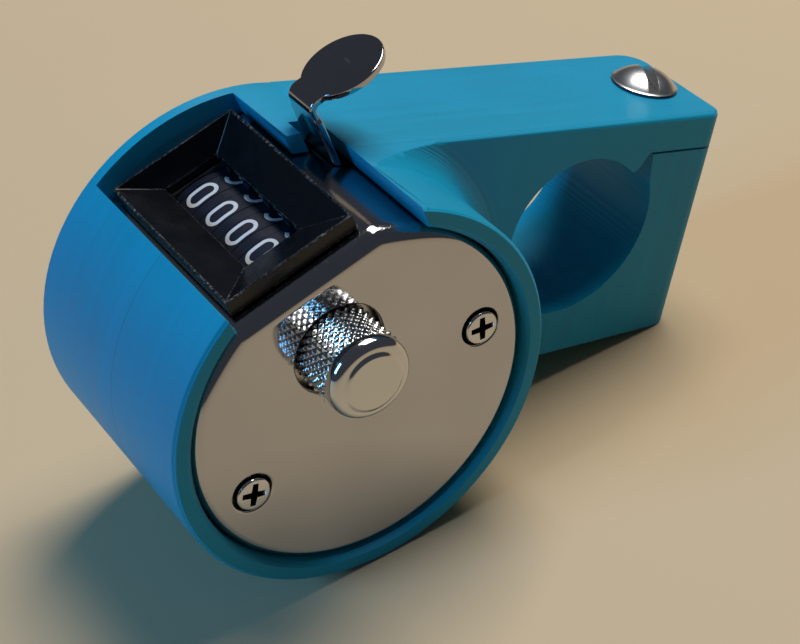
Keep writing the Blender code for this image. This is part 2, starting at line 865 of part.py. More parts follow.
def reset_knob(material, parent):
    """Makes the turning knob with its smooth band and raised end."""
    socket_end = knob_back - knob_socket_depth
    bore = shaft_radius + seat_gap
    band = knob_radius - knob_groove
    profile = [(0, socket_end), (bore, socket_end), (bore, knob_back), (band, knob_back)]
    profile += [(knob_radius, knob_back - knob_groove), (knob_radius, -knurl_end)]
    profile += [(band, -knurl_end - knob_groove), (band, -knob_band_end)]
    run = band - knob_shoulder_radius
    drop = knob_shoulder_end - knob_band_end
    for step in range(1, 5):
        angle = math.radians(90 * step / 4)
        radius = knob_shoulder_radius + run * math.cos(angle)
        profile.append((radius, -knob_band_end - drop * math.sin(angle)))
    profile += [(knob_disc_radius, -knob_shoulder_end), (knob_disc_radius - knob_disc_round, -knob_front)]
    profile.append((0, -knob_front))
    return placed("reset_knob", turned(profile, medium_steps, "Y"), material, parent, (0, 0, axis_height))


def reset_shaft(material, parent):
    """Makes the shaft through the wheels with its keyway."""
    front = knob_back - knob_socket_depth + seat_gap
    back = rear_plate_y + plate_thickness + seat_gap + collar_thickness + seat_gap
    rod = turned([(0, front), (shaft_radius, front), (shaft_radius, back), (0, back)], small_steps, "Y")
    floor = shaft_radius - keyway_depth
    groove = box(-keyway_width / 2, keyway_width / 2, keyway_start, rear_plate_y, floor, shaft_radius * 2)
    return placed("reset_shaft", cut(rod, groove), material, parent, (0, 0, axis_height))


def shaft_collar(material, parent):
    """Makes the collar that keeps the shaft in the rear plate."""
    front = rear_plate_y + plate_thickness + seat_gap
    back = front + collar_thickness
    bore = shaft_radius + running_gap
    profile = [(bore, front), (collar_radius, front), (collar_radius, back), (bore, back)]
    return placed("shaft_collar", turned(profile, small_steps, "Y"), material, parent, (0, 0, axis_height))


def number_wheel(name, order, material, parent):
    """Makes one number wheel with its gear band and its carry disc."""
    middle = units_wheel_y + wheel_pitch * order
    front = middle - drum_width / 2
    back = middle + drum_width / 2
    body = prism(arc(0, 0, wheel_radius, 0, 360 - 360 / wheel_steps, wheel_steps - 1), front, back, "Y")
    if order > 0:
        phase = pinion_heading + 180 / gear_teeth
        band = gear_outline(gear_teeth, gear_root, gear_mid, gear_tip, wheel_tooth_shares, phase)
        body = joined(body, prism(band, front - gear_width, front + overlap, "Y"))
    disc = arc(0, 0, carry_radius, 0, 360 - 360 / wheel_steps, wheel_steps - 1)
    body = joined(body, prism(disc, back - overlap, back + carry_width, "Y"))
    pitch = 360 / gear_teeth
    foot_share = wheel_tooth_shares[0]
    tip_share = wheel_tooth_shares[-1]
    foot = carry_radius - overlap
    corners = ((foot, -foot_share), (finger_tip, -tip_share), (finger_tip, tip_share), (foot, foot_share))
    for side in (-0.5, 0.5):
        centre = pinion_heading - finger_setback + side * pitch
        points = []
        for radius, share in corners:
            angle = math.radians(centre + share * pitch)
            points.append((radius * math.cos(angle), radius * math.sin(angle)))
        body = joined(body, prism(points, back - overlap, back + carry_width, "Y"))
    bore = pin_hole(0, 0, shaft_radius + running_gap, front - wheel_pitch, back + wheel_pitch)
    return placed(name, cut(body, bore), material, parent, (0, 0, axis_height))


def ratchet_outline():
    """Gives the outline of the ratchet with its steep faces turned to the pawl."""
    points = []
    pitch = 360 / ratchet_teeth
    for tooth in range(ratchet_teeth):
        face = ratchet_phase + pitch * tooth
        foot = face - pitch + tooth_back_angle / 4
        corners = ((ratchet_root, foot), (ratchet_tip, face - tooth_back_angle), (ratchet_tip, face))
        for radius, degrees in corners:
            angle = math.radians(degrees)
            points.append((radius * math.cos(angle), radius * math.sin(angle)))
    return points


def ratchet_wheel(material, parent):
    """Makes the ratchet and its hub in front of the units wheel."""
    back = ratchet_y + ratchet_width
    hub_end = units_wheel_y - drum_width / 2 - seat_gap
    disc = prism(ratchet_outline(), ratchet_y, back, "Y")
    hub_start = back - overlap
    profile = [(0, hub_start), (ratchet_hub_radius, hub_start), (ratchet_hub_radius, hub_end), (0, hub_end)]
    hub = turned(profile, small_steps, "Y")
    bore = pin_hole(0, 0, shaft_radius + running_gap, ratchet_y - seat_gap, hub_end + seat_gap)
    return placed("ratchet_wheel", cut(joined(disc, hub), bore), material, parent, (0, 0, axis_height))


def pinion_shaft(material, parent):
    """Makes the fixed rod that the carry pinions run on."""
    x, z = pinion_centre()
    front = front_plate_y - seat_gap
    back = rear_plate_y + plate_thickness + seat_gap
    rod = turned(
        [(0, front), (pinion_shaft_radius, front), (pinion_shaft_radius, back), (0, back)], small_steps, "Y")
    return placed("pinion_shaft", rod, material, parent, (x, 0, z))


def carry_pinion(name, order, material, parent):
    """Makes one carry pinion with every second tooth reaching over the carry disc."""
    x, z = pinion_centre()
    back = units_wheel_y + wheel_pitch * order - drum_width / 2
    seam = back - gear_width
    front = units_wheel_y + wheel_pitch * (order - 1) + drum_width / 2 + running_gap / 2
    phase = pinion_heading - 180
    stubs = pinion_teeth // 2
    radii = (pinion_root, pinion_mid, pinion_tip)
    full = gear_outline(pinion_teeth, *radii, pinion_tooth_shares, phase)
    half = gear_outline(stubs, *radii, stub_tooth_shares, phase + 180 / stubs)
    body = joined(prism(full, seam, back - running_gap / 2, "Y"), prism(half, front, seam + overlap, "Y"))
    bore = pin_hole(0, 0, pinion_shaft_radius + running_gap, front - wheel_pitch, back + wheel_pitch)
    return placed(name, cut(body, bore), material, parent, (x, 0, z))


def lever_plate():
    """Makes the flat arm of the lever over the shaft."""
    eye = arc(0, 0, lever_eye_radius, 90, 270, 12)
    under = lever_under - pivot_height
    over = lever_over - pivot_height
    strip = pivot_x + lever_strip_x
    end = strip + lever_strip_thickness
    shoulder = pivot_x + pawl_x + pawl_eye_radius
    points = eye + [(lever_eye_radius, under - lever_strip_thickness / 2), (shoulder, under)]
    points += [(strip, lever_flange_low - pivot_height), (end, lever_flange_low - pivot_height)]
    points += [(end, lever_flange_high - pivot_height), (strip, lever_flange_high - pivot_height)]
    points += [(shoulder, over), (lever_eye_radius, over)]
    return prism(points, lever_plate_y, lever_plate_y + lever_plate_thickness, "Y")


def lever_strip():
    """Makes the upright strip with its bend and the thumb tab."""
    inner = pivot_x + lever_strip_x
    outer = inner + lever_strip_thickness
    middle = (strip_front + strip_back) / 2
    base = lever_flange_low - pivot_height
    waist = strip_waist - pivot_height
    bend = bend_height - pivot_height
    under = tab_height - tab_thickness - pivot_height
    bend_radius = under - bend
    side = [(inner, base), (outer, base), (outer, bend)]
    side += arc(outer + bend_radius, bend, bend_radius, 180, 100, 5)[1:]
    far = pivot_x + tab_centre_x + tab_half_length
    side.append((far, under + tab_rise))
    side.append((far, under + tab_rise + tab_thickness))
    side += arc(outer + bend_radius, bend, bend_radius + lever_strip_thickness, 100, 180, 6)
    ribbon = prism(side, strip_front - strip_taper, strip_back + strip_taper, "Y")
    front = [(strip_front, base), (strip_back, base), (strip_back - strip_taper, waist)]
    front += [(strip_back - strip_taper, under + ring_wall), (strip_front + strip_taper, under + ring_wall)]
    front.append((strip_front + strip_taper, waist))
    upright = combined(ribbon, prism(front, 0, inner + tab_half_length, "X"), "INTERSECT")
    oval = []
    for step in range(medium_steps):
        angle = math.tau * step / medium_steps
        along = pivot_x + tab_centre_x + tab_half_length * math.cos(angle)
        oval.append((along, middle + tab_half_width * math.sin(angle)))
    near = inner + tab_half_width / 3
    beyond = far + tab_thickness
    step_off = seat_gap / 3
    slab = [(near, under - step_off), (beyond, under + tab_rise + step_off)]
    slab += [(beyond, under + tab_rise + tab_thickness + step_off), (near, under + tab_thickness - step_off)]
    reach = tab_half_width * 2
    plate = prism(slab, middle - reach, middle + reach, "Y")
    tab = combined(plate, prism(oval, under - ring_wall, under + ring_wall, "Z"), "INTERSECT")
    return joined(upright, tab)


def thumb_lever(material, parent):
    """Makes the one piece lever from its eye to the thumb tab."""
    strip = pivot_x + lever_strip_x
    low = lever_flange_low - pivot_height
    high = lever_flange_high - pivot_height
    flange_front = lever_plate_y + overlap
    flange = box(strip, strip + lever_strip_thickness, flange_front, strip_back, low, high)
    foot_left = pivot_x + coil_x - coil_radius - coil_wire
    foot_front = coil_y - coil_seat_half
    foot_back = coil_y + coil_seat_half
    foot = box(foot_left, strip + overlap, foot_front, foot_back, low, low + lever_strip_thickness)
    reach = lever_plate_y * 2
    bore = pin_hole(0, 0, pivot_pin_radius + running_gap, 0, reach)
    drop = pawl_height - pivot_height
    pawl_bore = pin_hole(pivot_x + pawl_x, drop, pawl_pin_radius + running_gap, 0, reach)
    body = joined(lever_plate(), flange, foot, lever_strip())
    return placed("thumb_lever", cut(body, bore, pawl_bore), material, parent, (-pivot_x, 0, pivot_height))


def lever_pivot_pin(material, parent):
    """Makes the pin that the lever swings on."""
    front = front_plate_y - seat_gap
    back = rear_plate_y + plate_thickness + seat_gap
    groove = pivot_pin_radius - running_gap
    start = lever_plate_y + lever_plate_thickness + seat_gap
    profile = [(0, front), (pivot_pin_radius, front), (pivot_pin_radius, start), (lever_eye_radius, start)]
    profile += [(lever_eye_radius, start + plate_thickness), (groove, start + plate_thickness)]
    profile += [(groove, back), (0, back)]
    pin = turned(profile, small_steps, "Y")
    return placed("lever_pivot_pin", pin, material, parent, (-pivot_x, 0, pivot_height))


def drive_pawl(material, parent):
    """Makes the bowed pawl that pushes the ratchet."""
    face = math.radians(ratchet_phase)
    tip_x = pawl_reach_radius * math.cos(face) - pawl_gap * math.sin(face)
    tip_z = axis_height + pawl_reach_radius * math.sin(face) + pawl_gap * math.cos(face)
    run = Vector((tip_x - pawl_x, tip_z - pawl_height))
    along = run.normalized()
    side = Vector((-along.y, along.x))
    heading = math.degrees(math.atan2(along.y, along.x))
    points = arc(0, 0, pawl_eye_radius, heading + 60, heading + 300, 12)
    inner = []
    outer = []
    for step in range(1, 7):
        share = step / 7
        bow = math.sin(math.pi * share) * pawl_belly
        centre = run * share + side * bow
        half = pawl_waist + (pawl_tip_half - pawl_waist) * share
        outer.append(centre + side * half)
        inner.append(centre - side * half)
    flat = Vector((math.cos(face), math.sin(face))) * pawl_tip_half
    tip = [run + flat, run - flat]
    going, coming = (inner, outer) if side.dot(flat) > 0 else (outer, inner)
    points += [tuple(point) for point in going]
    points += [tuple(tip[1]), tuple(tip[0])]
    points += [tuple(point) for point in reversed(coming)]
    body = prism(points, ratchet_y, ratchet_y + ratchet_width, "Y")
    bore = pin_hole(0, 0, pawl_pin_radius + running_gap, 0, ratchet_y * 2)
    return placed("drive_pawl", cut(body, bore), material, parent, (pawl_x, 0, pawl_height))


def pawl_pin(material, parent):
    """Makes the pin that joins pawl and lever."""
    front = lever_plate_y - seat_gap
    back = ratchet_y + ratchet_width + seat_gap
    profile = [(0, front), (pawl_pin_radius, front), (pawl_pin_radius, back), (pawl_eye_radius, back)]
    profile += [(pawl_eye_radius, back + seat_gap * 2), (0, back + seat_gap * 2)]
    return placed("pawl_pin", turned(profile, small_steps, "Y"), material, parent, (pawl_x, 0, pawl_height))


def return_spring(material, parent):
    """Makes the coil that lifts the lever again."""
    low = coil_seat_height + seat_gap + coil_wire
    high = lever_flange_low - seat_gap - coil_wire
    round_steps = small_steps // 2
    count = coil_turns * round_steps
    sides = 5
    solid = bmesh.new()
    rings = []
    for step in range(count + 1):
        angle = math.tau * step / round_steps
        level = (high - low) * step / count
        outward = Vector((math.cos(angle), math.sin(angle), 0))
        ring = []
        for side in range(sides):
            turn = math.tau * side / sides
            offset = outward * (coil_radius + coil_wire * math.cos(turn))
            ring.append(solid.verts.new(offset + Vector((0, 0, level + coil_wire * math.sin(turn)))))
        rings.append(ring)
    solid.faces.new(rings[0])
    solid.faces.new(list(reversed(rings[-1])))
    for first, second in zip(rings, rings[1:]):
        for side in range(sides):
            after = (side + 1) % sides
            solid.faces.new((first[side], second[side], second[after], first[after]))
    return placed("return_spring", solid, material, parent, (coil_x, coil_y, low))


def holding_spring(material, parent):
    """Makes the leaf that keeps the ratchet from running back."""
    level = -ratchet_tip - leaf_gap
    front = front_plate_y + plate_thickness + seat_gap
    back = ratchet_y + ratchet_width
    foot_right = leaf_foot_x + leaf_foot_length
    hook = level - leaf_hook
    leaf = [(leaf_tip_x, level), (leaf_tip_x - leaf_thickness, level), (leaf_tip_x - leaf_thickness, hook)]
    leaf += [(foot_right, hook), (foot_right, hook + leaf_thickness)]
    leaf += [(leaf_tip_x + leaf_thickness, hook + leaf_thickness)]
    blade = prism(leaf, ratchet_y, back, "Y")
    foot = box(leaf_foot_x, foot_right, front, back, hook - leaf_foot_drop, hook + leaf_thickness / 2)
    return placed("holding_spring", joined(foot, blade), material, parent, (0, 0, axis_height))


def main():
    """Builds every piece."""
    for old in list(bpy.data.objects):
        bpy.data.objects.remove(old)
    tilt = resting_tilt()
    lean = math.radians(tilt)
    span = arm_reach * math.cos(lean) + ring_radius * math.sin(lean) - ring_radius
    origin = (-span / 2, -(ring_depth - knob_front) / 2, ring_radius)
    stand = frame_empty("stand", None, origin, tilt)
    counter = frame_empty("counter", stand, (0, 0, 0), -counter_turn)

    plastic = paint("holder_plastic", (0.005, 0.28, 0.40), 0.42, 0.0)
    chrome = paint("case_chrome", (0.78, 0.75, 0.71), 0.12, 1.0)
    black = paint("window_black", (0.006, 0.006, 0.008), 0.3, 0.0)
    dark = paint("wheel_black", (0.012, 0.013, 0.018), 0.45, 0.0)
    steel = paint("screw_steel", (0.62, 0.62, 0.63), 0.2, 1.0)
    lever_steel = paint("lever_chrome", (0.72, 0.70, 0.67), 0.16, 1.0)
    frame_steel = paint("frame_steel", (0.55, 0.55, 0.54), 0.35, 1.0)
    brass = paint("insert_brass", (0.72, 0.52, 0.22), 0.3, 1.0)
    pale = paint("pinion_plastic", (0.70, 0.69, 0.64), 0.5, 0.0)

    holder_body(plastic, stand)
    clamp_jaw(plastic, stand)
    clamp_insert(brass, stand)
    clamp_screw(steel, stand)
    case_cup(chrome, counter)
    back_cover(frame_steel, counter)
    window_bezel(black, counter)
    front_frame_plate(frame_steel, counter)
    rear_frame_plate(frame_steel, counter)
    frame_post("frame_post_left", -post_x, -post_drop, True, frame_steel, counter)
    frame_post("frame_post_right", post_x, -post_drop, True, frame_steel, counter)
    frame_post("frame_post_foot", 0, -foot_post_drop, False, frame_steel, counter)
    cover_screw("cover_screw_left", -post_x, steel, counter)
    cover_screw("cover_screw_right", post_x, steel, counter)
    reset_knob(chrome, counter)
    reset_shaft(frame_steel, counter)
    shaft_collar(frame_steel, counter)
    for order, name in enumerate(("units_wheel", "tens_wheel", "hundreds_wheel", "thousands_wheel")):
        number_wheel(name, order, dark, counter)
    ratchet_wheel(frame_steel, counter)
    pinion_shaft(frame_steel, counter)
    for order, name in enumerate(("tens_pinion", "hundreds_pinion", "thousands_pinion")):
        carry_pinion(name, order + 1, pale, counter)
    thumb_lever(lever_steel, counter)
    lever_pivot_pin(frame_steel, counter)
    drive_pawl(frame_steel, counter)
    pawl_pin(frame_steel, counter)
    return_spring(frame_steel, counter)
    holding_spring(frame_steel, counter)


main()
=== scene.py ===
"""Looks of a hand tally counter in its printed clamp holder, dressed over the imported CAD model."""

import json
import math

import bmesh
import bpy
from mathutils import Matrix, Vector


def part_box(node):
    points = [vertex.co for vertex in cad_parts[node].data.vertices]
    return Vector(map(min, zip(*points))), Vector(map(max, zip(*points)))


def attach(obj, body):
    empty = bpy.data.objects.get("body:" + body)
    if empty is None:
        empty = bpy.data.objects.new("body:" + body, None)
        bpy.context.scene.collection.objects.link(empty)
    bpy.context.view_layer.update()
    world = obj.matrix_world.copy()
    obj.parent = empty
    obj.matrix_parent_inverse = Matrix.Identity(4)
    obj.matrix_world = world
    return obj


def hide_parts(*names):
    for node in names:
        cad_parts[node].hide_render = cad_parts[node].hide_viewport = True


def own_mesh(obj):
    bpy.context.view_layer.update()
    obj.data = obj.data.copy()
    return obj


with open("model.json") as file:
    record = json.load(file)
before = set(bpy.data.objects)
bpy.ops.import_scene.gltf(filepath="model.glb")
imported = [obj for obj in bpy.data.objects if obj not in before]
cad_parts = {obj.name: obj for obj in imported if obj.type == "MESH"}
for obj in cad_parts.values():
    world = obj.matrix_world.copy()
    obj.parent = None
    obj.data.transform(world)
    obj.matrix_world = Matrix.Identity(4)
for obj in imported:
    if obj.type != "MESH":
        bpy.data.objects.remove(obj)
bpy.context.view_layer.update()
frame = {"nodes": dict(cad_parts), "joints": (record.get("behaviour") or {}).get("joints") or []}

# Lengths below are in millimetres of a local frame unless a line says otherwise
mm = 0.001

# Copied CAD meshes: how near corners are welded, and how much large faces weigh in evened normals
weld_distance = 0.002
even_weight = 80

# The two local frames: the holder's, and the counter's turned in it
counter_turn = math.radians(32.5)
axis_height = 8.93

# Camera, in metres and degrees
camera_place = (-0.10302, -0.17613, 0.18237)
camera_turn = (51.13, 5.0331, -32.6346)
camera_lens = 94.04
sensor_width = 36.0
camera_near = 0.01

# Colours
teal = (0.004, 0.31, 0.52)
nickel = (0.47, 0.465, 0.48)
bright_steel = (0.62, 0.62, 0.62)
window_black = (0.0035, 0.0042, 0.006)
edge_speck_grey = (0.16, 0.165, 0.17)
drum_black = (0.010, 0.013, 0.024)
# Painted shade: the near black that the screws' cross recesses darken to
recess_shade_black = (0.012, 0.011, 0.011)
numeral_white = (0.60, 0.61, 0.64)
spring_steel = (0.50, 0.50, 0.49)
brass = (0.72, 0.52, 0.22)
natural_plastic = (0.70, 0.69, 0.64)
floor_colour = (0.615, 0.455, 0.28)

# Lamps: place and size in metres, power in watts, colour
overhead_lamp = ((0.40, 0.18, 0.87), (0.55, 0.50), 8.6, (1.0, 0.985, 0.95))
window_lamp = ((-0.86, 0.06, 0.48), (0.30, 0.40), 4.9, (0.17, 0.53, 1.0))
surroundings = (0.045, 0.052, 0.065)

# Floor: half its side in metres, and its roughness
floor_half_side = 3.0
floor_roughness = 0.75

# Printed holder: edges to round, each as its place across and up a local frame and its rounding
notch_edges = ((-9.90, 22.95, 0.5), (9.90, 22.94, 0.4), (15.21, 19.82, 0.3))
nose_edges = ((46.57, 17.58, 0.5), (48.60, 20.30, 0.3))
joint_line = 15.3
joint_line_width = 0.16

# An edge to round is found within a distance of its place, and is longer than this
edge_find_distance = 0.05
edge_least_length = 1.0

# Wave scale that gives printed layers 0.2 mm high
layer_waves = 1570.0

# Cutters: how far they stand out past a face, and how far they reach past the case's wall
cut_margin = 1.0
cut_reach = 3.0

# Drawn case
case_radius = 22.16
case_flat = 20.0
case_corner = 3.0
case_corner_steps = 14
case_circle_steps = 120
case_wall = 0.6
case_edge = 1.25
case_top_edge = 2.3
case_blend_start = 13.0
case_blend_length = 6.0
case_edge_steps = 12
case_front = 0.55
case_back = 32.1
knob_hole = 5.86
hole_lip = 0.22
dimple_radius = 2.5
dimple_lip = 0.35
window_hole = (-6.6, 7.2, 6.3, 30.4)
lever_hole = (12.75, 16.5, 16.05, 22.85)
lever_hole_low = 14.0
window_hole_low = case_flat - 2
opening_corner = 0.4

# Window block: the rounding of its edges, and the angle in degrees from which an edge is rounded
window_edge_width = 0.11
window_edge_angle = 12.0

# Number wheels
drum_radius = 8.8
wheel_places = {"units": 12.0, "tens": 16.75, "hundreds": 21.5, "thousands": 26.25}
numeral_angle = 92.5
numeral_step = 36.0
numeral_half_height = 1.93
numeral_half_width = 0.98
stroke_width = 0.52
numeral_lift = 0.03
numeral_root = 0.03
stroke_step = 0.35

# Masks between the wheels, which hang from the window block
mask_spans = ((8.7, 10.35), (13.6, 15.15), (18.35, 19.9), (23.1, 24.65), (27.9, 28.85))
mask_inner = 8.62
mask_outer = 8.77
mask_top = 18.04
mask_half_width = 6.1
mask_shoulder = 1.6
mask_outer_arc = (61, 119)
mask_inner_arc = (133, 47)

# Reset knob
knob_radius = 5.3
knob_back = 1.9
knurl_end = -4.55
knurl_depth = 0.34
knurl_count = 29
knurl_length = 1.15
knurl_flat = 1.35
knurl_fade = 0.25
knurl_loops = 84
knurl_points = 14
band_radius = 5.2
band_sink = 0.1
band_lead = 0.05
band_end = 0.16
shoulder_start = -5.36
shoulder_round = 1.25
disc_radius = 3.5
disc_blend = 0.25
disc_height = 0.34
disc_steps = 14
knob_front = -6.95

# Screws in the face; face_screws gives each one's name, side and turn in degrees
screw_x = 16.6
screw_z = -1.7
screw_radius = 2.15
screw_front = 0.2
screw_back = 1.6
screw_edge = 0.28
screw_dome = 0.03
recess_edge = 0.05
face_screws = (("left", -1, 30), ("right", 1, 18))
cross_half_width = 0.46
cross_tip_half_width = 0.36
cross_reach = 1.6
cross_depth = 1.15
cross_rise = 0.1
cross_floor_length = 0.6
cross_floor_width = 0.75

# Clamp screw, in the holder's frame
clamp_x = 54.0
clamp_y = 24.325
clamp_floor = 25.3
clamp_radius = 4.45
clamp_height = 2.1
clamp_foot_sink = 0.15
clamp_foot_rise = 0.12
clamp_dome_gap = 2
clamp_slot_width = 1.5
clamp_slot_depth = 1.8
clamp_slot_share = 1.3
clamp_slot_edge = 0.1
clamp_heading = 248.7

# Thumb lever, as a flat blank that is bent once
strip_middle = 19.45
strip_centre_x = 13.4
strip_base = 16.0
strip_thickness = 0.95
strip_half_width = 3.05
strip_waist_half = 2.55
strip_waist = 24.7
bend_height = 25.7
bend_radius = 1.05
bend_angle = 87.8
tab_centre_x = 19.6
tab_half_length = 5.3
tab_half_width = 4.6
strip_round = 0.2
strip_round_steps = 4
strip_taper = 0.3
strip_taper_drop = 0.05
least_spread = 0.35
tip_limit = 0.001
bend_steps = 16
tab_steps = 40
arm_overlap = 0.4
strip_straight = bend_height - strip_base
strip_bend = bend_radius * math.radians(bend_angle)


def joint(name):
    """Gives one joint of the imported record."""
    return next(entry for entry in frame["joints"] if entry["name"] == name)


def local_frame(turn, centre):
    """Places a frame in millimetres, turned about the ring's axis, in the model."""
    return Matrix.Translation(centre) @ Matrix.Rotation(turn, 4, "Y") @ Matrix.Scale(mm, 4)


screw_axis = Vector(joint("clamp_screw_turn")["axis"])
tilt = math.atan2(screw_axis.x, screw_axis.z)
up = Vector((math.sin(tilt - counter_turn), 0, math.cos(tilt - counter_turn)))
ring_centre = Vector(joint("units_turn")["pos_m"]) - up * axis_height * mm
ring_centre.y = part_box("holder_body")[0].y
holder_frame = local_frame(tilt, ring_centre)
counter_frame = local_frame(tilt - counter_turn, ring_centre)


def prism(points, low, high, axis):
    """Makes a bar with the given outline between two depths along an axis."""
    order = {"X": (2, 0, 1), "Y": (0, 2, 1), "Z": (0, 1, 2)}[axis]
    solid = bmesh.new()
    rings = []
    for depth in (low, high):
        rings.append([solid.verts.new([(*point, depth)[slot] for slot in order]) for point in points])
    near, far = rings
    solid.faces.new(near)
    solid.faces.new(list(reversed(far)))
    for index in range(len(points)):
        after = (index + 1) % len(points)
        solid.faces.new((near[index], far[index], far[after], near[after]))
    bmesh.ops.recalc_face_normals(solid, faces=solid.faces)
    return solid


def circle(radius, depth, steps):
    """Gives the points of a circle about the Y axis."""
    angles = [math.tau * step / steps for step in range(steps)]
    return [(radius * math.cos(a), depth, radius * math.sin(a)) for a in angles]


def turned(profile, steps):
    """Turns an outline of radius and depth pairs about the Y axis, closed where the radius is zero."""
    solid = bmesh.new()
    rings = []
    for radius, depth in profile:
        if radius == 0:
            rings.append([solid.verts.new((0, depth, 0))] * steps)
            continue
        rings.append([solid.verts.new(point) for point in circle(radius, depth, steps)])
    for near, far in zip(rings, rings[1:]):
        for step in range(steps):
            after = (step + 1) % steps
            corners = [near[step], near[after], far[after], far[step]]
            corners = [v for index, v in enumerate(corners) if v not in corners[:index]]
            solid.faces.new(corners)
    bmesh.ops.recalc_face_normals(solid, faces=solid.faces)
    return solid


def fillet(centre, radius, start, end, steps):
    """Gives points of an arc, with angles in degrees."""
    angles = [math.radians(start + (end - start) * step / steps) for step in range(steps + 1)]
    return [(centre[0] + radius * math.cos(a), centre[1] + radius * math.sin(a)) for a in angles]


def lofted(loops):
    """Joins closed loops of as many points each into one solid with capped ends."""
    solid = bmesh.new()
    rings = [[solid.verts.new(point) for point in loop] for loop in loops]
    for near, far in zip(rings, rings[1:]):
        for index in range(len(near)):
            after = (index + 1) % len(near)
            solid.faces.new((near[index], near[after], far[after], far[index]))
    solid.faces.new(rings[0])
    solid.faces.new(rings[-1])
    bmesh.ops.recalc_face_normals(solid, faces=solid.faces)
    return solid


def soften(solid, width, steps=3, angle=35.0, worn=-1):
    """Rounds every edge that is sharper than an angle, and gives the new faces a material's number."""
    limit = math.radians(angle)
    sharp = [e for e in solid.edges if len(e.link_faces) == 2 and e.calc_face_angle() > limit]
    bmesh.ops.bevel(solid, geom=sharp, offset=width, segments=steps, profile=0.5,
                    affect="EDGES", clamp_overlap=True, material=worn)
    return solid


def round_edges(solid, place, picks, steps=5):
    """Rounds the edges along Y that run through given places across and up a local frame."""
    into = place.inverted()
    for across, upward, width in picks:
        chosen = []
        for edge in solid.edges:
            ends = [into @ vert.co for vert in edge.verts]
            near = all(math.hypot(end.x - across, end.z - upward) < edge_find_distance for end in ends)
            if near and abs(ends[0].y - ends[1].y) > edge_least_length:
                chosen.append(edge)
        bmesh.ops.bevel(solid, geom=chosen, offset=width * mm, segments=steps, profile=0.5,
                        affect="EDGES", clamp_overlap=False)
    return solid


def scratch(solid):
    """Wraps a mesh in an object for a boolean."""
    mesh = bpy.data.meshes.new("scratch")
    solid.to_mesh(mesh)
    solid.free()
    carrier = bpy.data.objects.new("scratch", mesh)
    bpy.context.scene.collection.objects.link(carrier)
    return carrier


def cut(solid, *tools):
    """Cuts tools out of a solid."""
    body = scratch(solid)
    used = [scratch(tool) for tool in tools]
    for tool in used:
        step = body.modifiers.new("cut", "BOOLEAN")
        step.operation = "DIFFERENCE"
        step.solver = "EXACT"
        step.object = tool
    result = bmesh.new()
    result.from_object(body, bpy.context.evaluated_depsgraph_get())
    for used_object in (body, *used):
        bpy.data.objects.remove(used_object)
    return result


def moved(solid, x, y, z):
    """Shifts a solid."""
    bmesh.ops.translate(solid, vec=(x, y, z), verts=solid.verts)
    return solid


def spun(solid, angle, axis):
    """Turns a solid about an axis through its origin, in degrees."""
    turn = Matrix.Rotation(math.radians(angle), 3, axis)
    bmesh.ops.rotate(solid, cent=(0, 0, 0), matrix=turn, verts=solid.verts)
    return solid


def from_node(name, dissolve=0.3):
    """Copies a CAD node's mesh, with its split corners welded and flat areas joined."""
    solid = bmesh.new()
    solid.from_mesh(frame["nodes"][name].data)
    bmesh.ops.remove_doubles(solid, verts=solid.verts, dist=weld_distance * mm)
    if dissolve:
        limit = math.radians(dissolve)
        bmesh.ops.dissolve_limit(solid, angle_limit=limit, verts=solid.verts, edges=solid.edges)
    return solid


def piece(name, solid, place, body, materials, nodes=(), sharp=35.0, even=False):
    """Makes an object of the model from a mesh in a local frame."""
    solid.transform(place)
    mesh = bpy.data.meshes.new(name)
    solid.to_mesh(mesh)
    solid.free()
    mesh.shade_smooth()
    mesh.set_sharp_from_angle(angle=math.radians(sharp))
    for material in materials if isinstance(materials, tuple) else (materials,):
        mesh.materials.append(material)
    made = bpy.data.objects.new(name, mesh)
    bpy.context.scene.collection.objects.link(made)
    if even:
        weights = made.modifiers.new("even", "WEIGHTED_NORMAL")
        weights.keep_sharp = True
        weights.weight = even_weight
    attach(made, body)
    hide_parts(*nodes)
    return made


def node(tree, kind, settings=None, inputs=None):
    """Adds a shader node with its settings, input values and incoming links."""
    made = tree.nodes.new(kind)
    for key, value in (settings or {}).items():
        setattr(made, key, value)
    for key, value in (inputs or {}).items():
        if isinstance(value, bpy.types.NodeSocket):
            tree.links.new(value, made.inputs[key])
        else:
            made.inputs[key].default_value = value
    return made


def place_in_object(tree, scale, turn=0.0):
    """Gives the point in the model, turned about Y and then stretched along each axis, in metres."""
    point = node(tree, "ShaderNodeTexCoord").outputs["Object"]
    if turn:
        turned_point = node(tree, "ShaderNodeMapping", inputs={"Vector": point, "Rotation": (0, turn, 0)})
        point = turned_point.outputs["Vector"]
    return node(tree, "ShaderNodeMapping", inputs={"Vector": point, "Scale": scale}).outputs["Vector"]


def noise(tree, scale, detail=2.0, roughness=0.5, distortion=0.0, turn=0.0):
    """Gives a noise value with a stretch along each axis, in cycles a metre."""
    made = node(tree, "ShaderNodeTexNoise", inputs={
        "Vector": place_in_object(tree, scale, turn), "Scale": 1.0, "Detail": detail,
        "Roughness": roughness, "Distortion": distortion})
    return made.outputs["Fac"]


def ranged(tree, value, low, high, to_low, to_high, smooth=False):
    """Maps a value from one range to another."""
    kind = "SMOOTHSTEP" if smooth else "LINEAR"
    made = node(tree, "ShaderNodeMapRange", {"interpolation_type": kind}, {
        "Value": value, "From Min": low, "From Max": high, "To Min": to_low, "To Max": to_high})
    return made.outputs["Result"]


def maths(tree, operation, first, second=0.0):
    """Works out one step of arithmetic."""
    return node(tree, "ShaderNodeMath", {"operation": operation}, {0: first, 1: second}).outputs[0]


